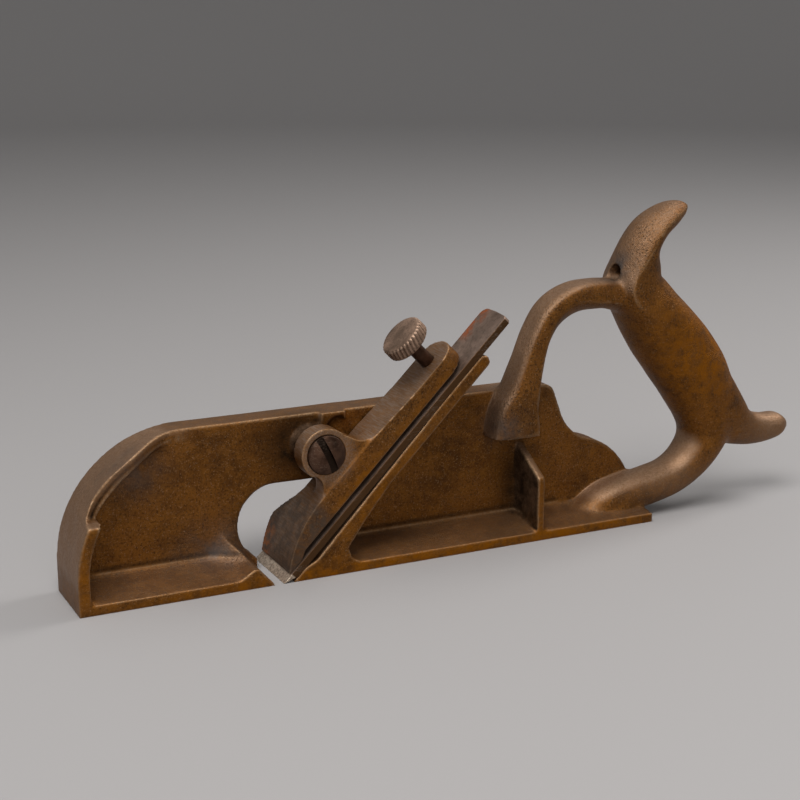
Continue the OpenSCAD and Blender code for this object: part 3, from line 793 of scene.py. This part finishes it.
def build_patina(given):
    """Colour of old bronze: dark and warm browns in clouds, ochre places, painted light on faces that
    look up, brown pits, black dirt and painted shade in the hollows, and bright rubbed metal and
    painted highlights on edges."""
    place = given["Place"]
    clouds = cloud(place, 48, 4, 0.6)
    mottle = cloud(place, 260, 4, 0.65)
    speckle = cloud(place, 1300, 2)
    colour = blend(between(clouds, 0.36, 0.64), DARK_BROWN, WARM_BROWN)
    colour = blend(between(mottle, 0.42, 0.72, 0, 0.6), colour, RED_BROWN)
    colour = blend(between(speckle, 0.50, 0.70, 0, 0.7), colour, GRIME_AND_SHADE)
    sparkle = between(cloud(place, 2100, 2, 0.7), 0.60, 0.70, 0, 0.45)
    colour = blend(sparkle, colour, WEAR_AND_HIGHLIGHT)
    ochre = scaled(given["Ochre"], between(mottle, 0.36, 0.6, 0.2, 1))
    colour = blend(ochre, colour, OCHRE)
    # Painted light on the faces that look up, from the piece's mask.
    painted_light = scaled(given["Pale"], between(speckle, 0.3, 0.62, 0.55, 1))
    colour = blend(painted_light, colour, PAINTED_LIGHT_TAN)
    colour = blend(scaled(given["Pits"], 0.45), colour, GRIME_AND_SHADE)
    # Dirt and painted shade in the hollows, from the piece's mask.
    grime_and_shade_mix = scaled(given["Grimy"], between(mottle, 0.3, 0.65, 0.5, 1.0))
    colour = blend(grime_and_shade_mix, colour, GRIME_AND_SHADE)
    # Bright metal on rubbed edges and painted highlights, from the piece's mask.
    wear_and_highlight = scaled(given["Worn"], between(speckle, 0.35, 0.6, 0.35, 1))
    colour = blend(wear_and_highlight, colour, WEAR_AND_HIGHLIGHT)
    dull = calc("ADD", between(mottle, 0.3, 0.7, 0.42, 0.56), scaled(grime_and_shade_mix, 0.3))
    return {"Colour": colour, "Roughness": calc("SUBTRACT", dull, scaled(wear_and_highlight, 0.1))}


DARK_BROWN = (0.085, 0.034, 0.008, 1)
WARM_BROWN = (0.165, 0.064, 0.012, 1)
RED_BROWN = (0.230, 0.095, 0.018, 1)
OCHRE = (0.255, 0.085, 0.001, 1)
# Light tan that paints light on faces that look up.
PAINTED_LIGHT_TAN = (0.270, 0.165, 0.100, 1)
# Bright metal for rubbed edges, scratches, sparkle and painted highlights.
WEAR_AND_HIGHLIGHT = (0.420, 0.270, 0.150, 1)
# Near black for specks, pits, dirt and painted shade.
GRIME_AND_SHADE = (0.018, 0.009, 0.004, 1)
STAIN = (0.075, 0.066, 0.062, 1)

grain = group("cast_grain", ["Place"], ["Height", "Pits"], build_grain)
scratches = group("fine_scratches", ["Place"], ["Lines"], build_scratches)
patina = group("bronze_patina", ["Place", "Ochre", "Pale", "Pits", "Grimy", "Worn"],
               ["Colour", "Roughness"], build_patina)


def plain_material(name, metallic):
    """Material with one shader, and the Object coordinates."""
    made = bpy.data.materials.new(name)
    made.use_nodes = True
    shader = made.node_tree.nodes["Principled BSDF"]
    shader.inputs["Metallic"].default_value = metallic
    shader.inputs["Specular IOR Level"].default_value = 0.15
    place = made.node_tree.nodes.new("ShaderNodeTexCoord").outputs["Object"]
    return made, place


def finished(made, colour, roughness, height, depth):
    """Gives a material its colour and roughness, and raises its surface by a height of 0 to 1
    times a depth in millimetres."""
    shader = made.node_tree.nodes["Principled BSDF"]
    attach(shader.inputs["Base Color"], colour)
    attach(shader.inputs["Roughness"], roughness)
    raised = add(height, "ShaderNodeBump", Height=height, Distance=depth / 1000)
    attach(shader.inputs["Normal"], raised.outputs[0])
    return made


def scratch_lines(place):
    """The shared fine scratches: 1 on a line, 0 beside it."""
    return add(place, "ShaderNodeGroup", scratches, Place=place).outputs["Lines"]


def bronze_look(place, painted_light, pits):
    """The shared patina, with the piece's own masks for ochre, for dirt with painted shade, and for wear
    with painted highlights.
    """
    return add(place, "ShaderNodeGroup", patina, Place=place, Pale=painted_light, Pits=pits,
               Ochre=mask(place, "ochre"), Grimy=mask(place, "grime_and_shade"), Worn=mask(place, "wear_and_highlight"))


def bronze_material():
    """Old cast bronze with grain, most of it on the handle, fine scratches and dark stains."""
    made, place = plain_material("cast_bronze", 0.7)
    skin = add(place, "ShaderNodeGroup", grain, Place=place)
    rough = mask(place, "rough")
    look = bronze_look(place, mask(place, "painted_light"), scaled(skin.outputs["Pits"], rough))
    lines = scratch_lines(place)
    colour = blend(scaled(lines, 0.16), look.outputs["Colour"], WEAR_AND_HIGHLIGHT)
    patches = between(cloud(place, 200), 0.35, 0.6, 0.3, 0.85)
    colour = blend(scaled(mask(place, "stained"), patches), colour, STAIN)
    height = scaled(skin.outputs["Height"], calc("ADD", scaled(rough, 0.9), 0.12))
    height = calc("SUBTRACT", height, scaled(lines, 0.15))
    return finished(made, colour, look.outputs["Roughness"], height, 0.3)


def placed(piece, material, node, body):
    """Gives a piece its material, slot and body, and puts it in place of a CAD node."""
    piece.data.materials.clear()
    piece.data.materials.append(material)
    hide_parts(node)
    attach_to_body(piece, body)


placed(make_casting(), bronze_material(), "body_casting", "body")


# ------------------------------------------------------------------ iron
# Flat steel blade with a wide cutting end, its back up, ground by a bevel underneath.
# A plate along the bed whose edges are slightly rounded; it lies under the lever cap.

IRON_T = 2.4
IRON_L = 109.0
IRON_WIDE = 23.0
IRON_SHOULDER = 6
IRON_CORNER_R = 3
NARROW_W = 15.4
BEVEL_ANGLE = 25
STEEL_DARK = (0.17, 0.115, 0.085, 1)
STEEL_LIGHT = (0.31, 0.215, 0.165, 1)
STEEL_SPECK = (0.07, 0.045, 0.03, 1)
STEEL_RUST = (0.33, 0.09, 0.03, 1)
STEEL_SIDE = (0.075, 0.036, 0.014, 1)
STEEL_GROUND = (0.66, 0.54, 0.42, 1)
STEEL_SCRATCH = (0.5, 0.45, 0.4, 1)
GROUND_ROUGHNESS = (0.38, 0.38, 0.38, 1)


def off_bed(co):
    """Points given as s up the bed, y across and n out of it, in the model's X, Y and Z."""
    s, y, n = co[..., 0], co[..., 1], co[..., 2]
    return np.stack([BED_X + (s - n) * math.sqrt(0.5), y, (s + n) * math.sqrt(0.5)], axis=-1)


def laid(shell):
    """A shell given in the bed's own directions, set in its place on the bed."""
    co, faces = shell
    return off_bed(co), faces


def softened(piece, width, angle):
    """Rounds the edges that turn by more than an angle in degrees, over a width in millimetres."""
    change = piece.modifiers.new("round", "BEVEL")
    change.width = width / 1000
    change.segments = 2
    change.limit_method = "ANGLE"
    change.angle_limit = math.radians(angle)
    return applied(piece)


def make_iron():
    """Outline in s and y at two levels; the lower level starts behind the bevel."""
    corner = (IRON_L - IRON_CORNER_R, NARROW_W - IRON_CORNER_R)
    outline = np.concatenate([
        [[0, 0], [0, SOLE_W], [IRON_WIDE, SOLE_W], [IRON_WIDE + IRON_SHOULDER, NARROW_W]],
        arc(corner, IRON_CORNER_R, 90, 8, 10),
        [[IRON_L, NARROW_W / 2], [IRON_L - 0.5, 1.2], [IRON_L - 1.5, 0]]])
    low, high = outline.copy(), outline.copy()
    low[:2, 0] = -IRON_T + IRON_T / math.tan(math.radians(BEVEL_ANGLE))
    high[:2, 0] = -IRON_T
    plate = rings_of([low[:, 0], high[:, 0]], outline[:, 1], [[0], [IRON_T]])
    blade = softened(joined("blade", [laid(carried(plate))]), 0.22, 35)
    co = read_skin(blade.data)[0]
    for name, value in (("along", slope_of(co)[0]), ("across", co[:, 1])):
        measure = blade.data.attributes.new(name, "FLOAT", "POINT")
        measure.data.foreach_set("value", value.astype(np.float32))
    return blade


def build_steel(given):
    """Colour of stained tool steel: grey-brown clouds and speckles, with rust by a mask."""
    place = given["Place"]
    clouds = cloud(place, 110, 4, 0.65)
    speckle = cloud(place, 900, 3)
    colour = blend(between(clouds, 0.35, 0.65), STEEL_DARK, STEEL_LIGHT)
    colour = blend(between(speckle, 0.5, 0.7, 0, 0.5), colour, STEEL_SPECK)
    rust = scaled(given["Rusty"], between(speckle, 0.3, 0.55))
    dull = calc("ADD", between(clouds, 0.3, 0.7, 0.38, 0.5), scaled(rust, 0.35))
    return {"Colour": blend(rust, colour, STEEL_RUST), "Roughness": dull}


steel = group("stained_steel", ["Place", "Rusty"], ["Colour", "Roughness"], build_steel)


def steel_material():
    """Stained steel with a bright ground strip at the cutting edge and rust near the top."""
    made, place = plain_material("tool_steel", 0.75)
    along, across = mask(place, "along"), mask(place, "across")
    patch = scaled(between(along, 94, 99), between(across, 9.5, 12.5))
    patch = scaled(patch, between(cloud(place, 170, 3), 0.42, 0.56))
    look = add(place, "ShaderNodeGroup", steel, Place=place, Rusty=patch)
    bright = between(cloud(place, 1100, 4, 0.7), 0.4, 0.56, 0.25, 1)
    bright = scaled(between(along, 1.7, 1.1), bright)
    off_middle = calc("ABSOLUTE", calc("SUBTRACT", across, SOLE_W / 2))
    colour = blend(between(off_middle, 12.4, 12.65), look.outputs["Colour"], STEEL_SIDE)
    colour = blend(bright, colour, STEEL_GROUND)
    lines = scratch_lines(place)
    colour = blend(scaled(lines, 0.3), colour, STEEL_SCRATCH)
    rough = blend(bright, look.outputs["Roughness"], GROUND_ROUGHNESS)
    height = calc("SUBTRACT", cloud(place, 700, 3), scaled(lines, 0.3))
    return finished(made, colour, rough, height, 0.05)


placed(make_iron(), steel_material(), "iron", "iron")


# ------------------------------------------------------------------ lever cap
# Bronze cap that bears on the iron at its toe and at its tail, and rocks on the cap screw.
# Its arm and its upright boss are melted into one skin, then bored for the two screws.

CAP_LOW = 3.9
CAP_HIGH = 10.9
TAIL_HIGH = 9.6
CAP_EDGE = 0.6
THUMB_S = 81.4
THUMB_Y = (CAP_EDGE + NARROW_W) / 2
TAIL_R = (NARROW_W - CAP_EDGE) / 2
BOSS_R = 8.3
BOSS_FACE = 1.3
CAP_START = 1.3
CAP_TOE_L = 16
TOE_CORNER_R = 5
ARM_START = 25
PINCH_GAP = 0.05
HEAD_BORE_R = 6.55
SHANK_BORE_R = 3.05
STEM_BORE_R = 2.45
CAP_MARK = (0.3, 0.24, 0.2, 1)
CAP_TOE = (0.075, 0.055, 0.042, 1)
CAP_RUST = (0.36, 0.12, 0.03, 1)


def cap_arm():
    """Four-cornered section carried up the bed. Its top bulges in a circle from the lip; its far
    side follows the wide toe, a rounded corner and the narrow part; its tail is a half circle."""
    tail_s = THUMB_S + 1.3
    s = np.concatenate([np.linspace(CAP_START, 30, 60), np.linspace(31, tail_s, 40),
                        tail_s + TAIL_R * np.sin(np.radians(np.linspace(5, 88, 20)))])
    rise = CAP_HIGH - IRON_T - 0.75
    bulge = ((ARM_START - CAP_START) ** 2 + rise ** 2) / (2 * rise)
    toe_high = CAP_HIGH - bulge + np.sqrt(bulge ** 2 - np.clip(ARM_START - s, 0, None) ** 2)
    arm_high = np.interp(s, [ARM_START, PIVOT[0] + 14, THUMB_S - 12, tail_s + TAIL_R],
                         [CAP_HIGH, CAP_HIGH, TAIL_HIGH + 0.2, TAIL_HIGH])
    high = np.where(s > ARM_START, arm_high, toe_high)
    low = np.interp(s, [7, 10], [IRON_T + PINCH_GAP, CAP_LOW])
    past = np.clip(s - (CAP_TOE_L - TOE_CORNER_R), 0, TOE_CORNER_R)
    corner = (SOLE_W - CAP_EDGE - TOE_CORNER_R
              + np.sqrt(np.clip(TOE_CORNER_R ** 2 - past ** 2, 0, None)))
    narrowing = np.interp(s, [15.3, 22, ARM_START], [22.4, NARROW_W + 1.2, NARROW_W])
    far = np.where(s < 15.3, corner, narrowing)
    half = np.sqrt(np.clip(TAIL_R ** 2 - np.clip(s - tail_s, 0, None) ** 2, 0, None))
    near = np.where(s > tail_s, THUMB_Y - half, CAP_EDGE)
    far = np.where(s > tail_s, THUMB_Y + half, far)
    return laid(carried(rings_of(s[:, None], np.stack([near, far, far, near], axis=-1),
                                 np.stack([low, low, high, high], axis=-1))))


def cap_boss():
    """Round boss with a neck on each side that runs down to the cap's back in a hollow curve."""
    s, n = PIVOT
    front, root, neck_r, hollow_r = s - 13, CAP_HIGH - 3, 6.5, 4.5
    neck = (s + 15.8, CAP_HIGH + neck_r)
    hollow = (s - BOSS_R - 3.3, CAP_HIGH + 4.9)
    outline = np.concatenate([
        [[front, root], [neck[0] + 1, root]], arc(neck, neck_r, 270, 190, 14),
        arc((s, n), BOSS_R, -2, 190, 50),
        arc(hollow, hollow_r, 20, -75, 12), [[front, CAP_HIGH - 1]]])
    return laid(spread(outline, BOSS_FACE, SEAT_Y - 0.1))


def bore(centre, radius, first, last, across):
    """Cutter for a round hole: across the part along Y, or out of the bed."""
    co, faces = spread(arc(centre, radius, 0, 352.5, 47), first, last)
    return laid((co if across else co[:, [0, 2, 1]], faces))


def shaded(piece, angle):
    """Smooth shading but for the edges that turn by more than an angle in degrees."""
    piece.data.shade_smooth()
    piece.data.set_sharp_from_angle(angle=math.radians(angle))
    return piece


def make_cap():
    """Melts the arm and the boss, fills the necks' hollows and a little of the rest above the
    lower edge, paints the masks, and bores the holes for the two screws."""
    cap = joined("cap", [cap_arm(), cap_boss()])
    melted(cap, 0.4)
    co, edges, corners = read_skin(cap.data)
    s, n = slope_of(co)
    side = np.stack([s, n], axis=-1)
    strength = np.where(n < CAP_LOW + 0.6, 0, 0.2)
    strength = strength + 0.6 * (blob(side, (PIVOT[0] - 10, CAP_HIGH), (5, 4))
                                 + blob(side, (PIVOT[0] + 12, CAP_HIGH), (6, 4)))
    co = filleted(co, edges, corners, 4, 24, np.clip(strength, 0, 1))
    write_skin(cap.data, co)
    normal = normals_of(co, corners)
    out = (normal[:, 2] - normal[:, 0]) * math.sqrt(0.5)
    rise = evened(rise_of(co, edges, normal), edges, 1)
    # Wear and painted highlights on the sharp edges.
    set_value(cap.data, "wear_and_highlight", 0.55 * smoothstep(-rise, 0.02, 0.06))
    # Dirt and painted shade in the hollows, by their depth.
    set_value(cap.data, "grime_and_shade", evened(smoothstep(rise, 0.004, 0.025), edges, 10) * 1.6)
    on_boss = smoothstep(-np.hypot(s - PIVOT[0], n - PIVOT[1]), -12, -6)
    face = on_boss * smoothstep(-normal[:, 1], 0.7, 0.95)
    # Top: faces that look out of the bed and the boss's front face, which the material files and paints
    # light on.
    set_value(cap.data, "top", np.maximum(smoothstep(out, 0.5, 0.9), face))
    set_value(cap.data, "toe", smoothstep(-s, -27, -20))
    rusty = smoothstep(co[:, 1], 15, 22) * smoothstep(-s, -14, -5) * smoothstep(out, 0.2, 0.5)
    set_value(cap.data, "rusty", rusty)
    set_value(cap.data, "ochre", 0.35 * smoothstep(-n, -7.5, -5) * smoothstep(-out, -0.5, -0.2)
              + blob(co, (BED_X + 24, 1, 33), (8, 3, 8)) * 0.4)
    cut(cap, bore(PIVOT, HEAD_BORE_R, -1, BOSS_FACE + 1, True))
    cut(cap, bore(PIVOT, SHANK_BORE_R, 0, SEAT_Y + 1, True))
    cut(cap, bore((THUMB_S, THUMB_Y), STEM_BORE_R, 0, 20, False))
    return shaded(cap, 50)


def cap_material():
    """Old bronze, dark at the toe, filed and greyish on top, where light is also painted, with fine marks
    across.
    """
    made, place = plain_material("cap_bronze", 0.6)
    skin = add(place, "ShaderNodeGroup", grain, Place=place)
    toe, top = mask(place, "toe"), mask(place, "top")
    pits = scaled(skin.outputs["Pits"], between(toe, 0, 1, 0.2, 0.9))
    # Half the painted light on the top.
    look = bronze_look(place, scaled(top, 0.5), pits)
    marks = cloud(turned(place, (0, 45, 0), (1, 0.08, 1)), 2600, 2)
    marked = scaled(top, between(marks, 0.4, 0.68, 0, 0.4))
    colour = blend(marked, look.outputs["Colour"], CAP_MARK)
    dark = scaled(toe, between(cloud(place, 330, 4), 0.35, 0.6, 0.25, 0.8))
    colour = blend(dark, colour, CAP_TOE)
    rust = scaled(mask(place, "rusty"), between(cloud(place, 420, 3), 0.42, 0.6))
    colour = blend(rust, colour, CAP_RUST)
    height = scaled(skin.outputs["Height"], between(toe, 0, 1, 0.15, 0.6))
    height = calc("ADD", height, scaled(marked, 0.4))
    return finished(made, colour, look.outputs["Roughness"], height, 0.12)


placed(make_cap(), cap_material(), "lever_cap", "lever_cap")


# ------------------------------------------------------------------ cap screw
# Dark steel screw with a domed, slotted head; the cap rocks on it. Turned about its own
# line across the part, and slotted by one cut. It is screwed into the side wall's boss.

HEAD_R = 6.3
HEAD_H = 3.4
HEAD_Y = BOSS_FACE + 0.9
HEAD_RIM = 1.7
SHANK_R = 3
THREAD_R = 2.5
THREAD_L = 7
SLOT_W = 2.4
SLOT_LEAN = 24.7
SCREW_DARK = (0.035, 0.017, 0.01, 1)
SCREW_LIGHT = (0.085, 0.044, 0.027, 1)
SCREW_SLOT_SHADE = (0.012, 0.007, 0.004, 1)
SCREW_SCRATCH = (0.3, 0.22, 0.17, 1)


def turned_shell(profile, origin, axis, side, count):
    """Closed shell of revolution. The profile gives radius and distance along the axis, and
    starts and ends on the axis; side is the direction of the first point of each ring."""
    axis, side = np.array(axis, float), np.array(side, float)
    third = np.cross(axis, side)
    turn = np.arange(count) * 2 * math.pi / count
    around = np.cos(turn)[:, None] * side + np.sin(turn)[:, None] * third
    profile = np.maximum(np.array(profile, float), [1e-3, -1e9])
    rings = np.array(origin) + profile[:, 1, None, None] * axis + profile[:, 0, None, None] * around
    return carried(rings)


def make_cap_screw():
    """A dome on a short rim, rounded where they meet, over the shank and the thinner thread. The
    dome's radius comes from its height and the head's; the slot leans from the model's Z."""
    dome_h = HEAD_H - HEAD_RIM
    dome_r = (HEAD_R ** 2 + dome_h ** 2) / (2 * dome_h)
    edge = math.degrees(math.asin(HEAD_R / dome_r))
    dome = arc((0, dome_r - HEAD_H), dome_r, -90, -90 + edge - 2, 14)
    rim = arc((HEAD_R - 0.35, 0.35 - 1.75), 0.35, -60, 0, 4)
    seat = SEAT_Y - HEAD_Y
    profile = np.concatenate([dome, rim, [
        [HEAD_R, 0], [SHANK_R, 0], [SHANK_R, seat], [THREAD_R, seat],
        [THREAD_R, seat + THREAD_L], [0, seat + THREAD_L]]])
    x, z = on_bed(*PIVOT)
    screw = joined("cap_screw", [turned_shell(profile, (x, HEAD_Y, z), (0, 1, 0), (1, 0, 0), 96)])
    lean = math.radians(SLOT_LEAN)
    up = np.array([-math.sin(lean), 0, math.cos(lean)])
    side = np.array([math.cos(lean), 0, math.sin(lean)])
    middle = np.array([x, 0, z])
    square = np.array([[-9, -1], [9, -1], [9, 1], [-9, 1]])
    rings = np.stack([middle + np.array([0, HEAD_Y - depth, 0]) + square[:, :1] * up
                      + square[:, 1:] * side * SLOT_W / 2 for depth in (HEAD_H - 1.8, HEAD_H + 1)])
    cut(screw, carried(rings))
    softened(screw, 0.15, 45)
    co = read_skin(screw.data)[0]
    set_value(screw.data, "slot", smoothstep(-np.abs((co - middle) @ side), -1.6, -1.3)
              * smoothstep(co[:, 1], HEAD_Y - HEAD_H + 0.8, HEAD_Y - HEAD_H + 1.8))
    return shaded(screw, 35)


def screw_material():
    """Dark brown steel, smooth, with painted black shade in the slot."""
    made, place = plain_material("screw_steel", 0.7)
    clouds = cloud(place, 300, 4, 0.6)
    colour = blend(between(clouds, 0.35, 0.65), SCREW_DARK, SCREW_LIGHT)
    # Painted shade in the slot.
    colour = blend(scaled(mask(place, "slot"), 0.9), colour, SCREW_SLOT_SHADE)
    colour = blend(scaled(scratch_lines(place), 0.4), colour, SCREW_SCRATCH)
    return finished(made, colour, between(clouds, 0.3, 0.7, 0.34, 0.5), clouds, 0.05)


dark_steel = screw_material()
placed(make_cap_screw(), dark_steel, "cap_screw", "body")


# ------------------------------------------------------------------ thumb screw stem
# Plain dark stem with a rounded point that bears on the iron through the cap's tail.
# A shell of revolution about a line out of the bed.

STEM_R = 2.4
KNOB_R = 7.6
KNOB_T = 4.7
KNOB_TOP = 23.6
KNOB_LOW = KNOB_TOP - KNOB_T
OUT = (-math.sqrt(0.5), 0, math.sqrt(0.5))


def make_stem():
    """Radius and height out of the bed: a chamfered point, the stem, and a thinner end that
    stands in the head."""
    low, shoulder, top = IRON_T + PINCH_GAP, KNOB_LOW - 0.1, KNOB_LOW + 2.9
    profile = [[0, low], [STEM_R - 1, low], [STEM_R - 0.5, low + 0.3], [STEM_R, low + 1],
               [STEM_R, shoulder], [STEM_R - 0.6, shoulder], [STEM_R - 0.6, top], [0, top]]
    place = off_bed(np.array([THUMB_S, THUMB_Y, 0]))
    stem = joined("thumb_stem", [turned_shell(profile, place, OUT, (0, 1, 0), 64)])
    set_value(stem.data, "slot", np.zeros(len(stem.data.vertices)))
    return shaded(stem, 40)


placed(make_stem(), dark_steel, "thumb_screw_stem", "thumb_screw_stem")


# ------------------------------------------------------------------ thumb screw head
# Brass-like disc with a flat chamfered face and coarse slanting grooves round its rim.
# One surface whose radius falls in a groove shape that turns with height, fixed on the stem.

KNURLS = 32
KNURL_DEPTH = 0.5
KNURL_SLANT = 18
GROOVE_SHARE = 0.36
BRASS_DARK = (0.17, 0.11, 0.075, 1)
BRASS_LIGHT = (0.36, 0.235, 0.165, 1)
BRASS_SPECK = (0.05, 0.03, 0.02, 1)
BRASS_GROOVE_DARK = (0.05, 0.03, 0.017, 1)
BRASS_RIM = (0.4, 0.3, 0.23, 1)


def make_head():
    """The radius at an angle and a height is that of the chamfered disc, less a groove: the depth
    times one less the distance to the nearest groove line, and the lines slant with height."""
    count = KNURLS * 10
    bore_r = STEM_R - 0.55
    profile = np.array([[bore_r, 3.0], [bore_r, 0], [KNOB_R - 0.7, 0], [KNOB_R - 0.1, 0.5], [KNOB_R, 0.8],
                        [KNOB_R, 1.6], [KNOB_R, 2.4], [KNOB_R, 3.2], [KNOB_R, 3.9], [KNOB_R - 0.12, 4.2],
                        [KNOB_R - 0.65, KNOB_T - 0.06], [KNOB_R - 0.9, KNOB_T], [KNOB_R - 4, KNOB_T],
                        [0.01, KNOB_T]])
    turn = np.arange(count) * 2 * math.pi / count
    height = profile[:, 1:2]
    slant = height * math.tan(math.radians(KNURL_SLANT)) * KNURLS / (2 * math.pi * KNOB_R)
    phase = (turn * KNURLS / (2 * math.pi) + slant) % 1
    valley = np.clip(1 - np.abs(phase - 0.5) / GROOVE_SHARE, 0, 1)
    on_rim = smoothstep(profile[:, 0:1], KNOB_R - 0.8, KNOB_R - 0.2)
    radius = profile[:, 0:1] - KNURL_DEPTH * valley * on_rim
    sideways = np.stack([0 * turn, np.cos(turn), np.sin(turn)], axis=-1)
    slope = np.array([math.sqrt(0.5), 0, math.sqrt(0.5)])
    around = sideways[:, 1:2] * np.array([0, 1, 0]) + sideways[:, 2:3] * slope
    place = off_bed(np.array([THUMB_S, THUMB_Y, KNOB_LOW]))
    rings = place + height[:, :, None] * np.array(OUT) + radius[:, :, None] * around
    cap_end = place + 3.0 * np.array(OUT) + 0.01 * around
    head = joined("thumb_head", [carried(np.concatenate([cap_end[None], rings]))])
    groove = np.concatenate([np.zeros((1, count)), valley * on_rim])
    set_value(head.data, "groove", groove.ravel())
    # The rim's top chamfer is made lighter.
    rim = np.concatenate([[0], on_rim[:, 0] * (profile[:, 1] > 4)])
    set_value(head.data, "wear_and_highlight", np.repeat(rim, count))
    return shaded(head, 30)


def brass_material():
    """Smooth pink-brown metal in dark and light clouds, darker in the grooves, and a lighter rim."""
    made, place = plain_material("thumb_screw_brass", 0.7)
    clouds = cloud(place, 130, 4, 0.6)
    specks = between(cloud(place, 1500, 2), 0.5, 0.75, 0, 0.6)
    colour = blend(between(clouds, 0.38, 0.62), BRASS_DARK, BRASS_LIGHT)
    colour = blend(specks, colour, BRASS_SPECK)
    # The grooves are made darker.
    colour = blend(scaled(mask(place, "groove"), 0.7), colour, BRASS_GROOVE_DARK)
    colour = blend(scaled(mask(place, "wear_and_highlight"), 0.2), colour, BRASS_RIM)
    roughness = between(clouds, 0.3, 0.7, 0.4, 0.52)
    return finished(made, colour, roughness, cloud(place, 900, 3), 0.04)


placed(make_head(), brass_material(), "thumb_screw_head", "thumb_screw_head")
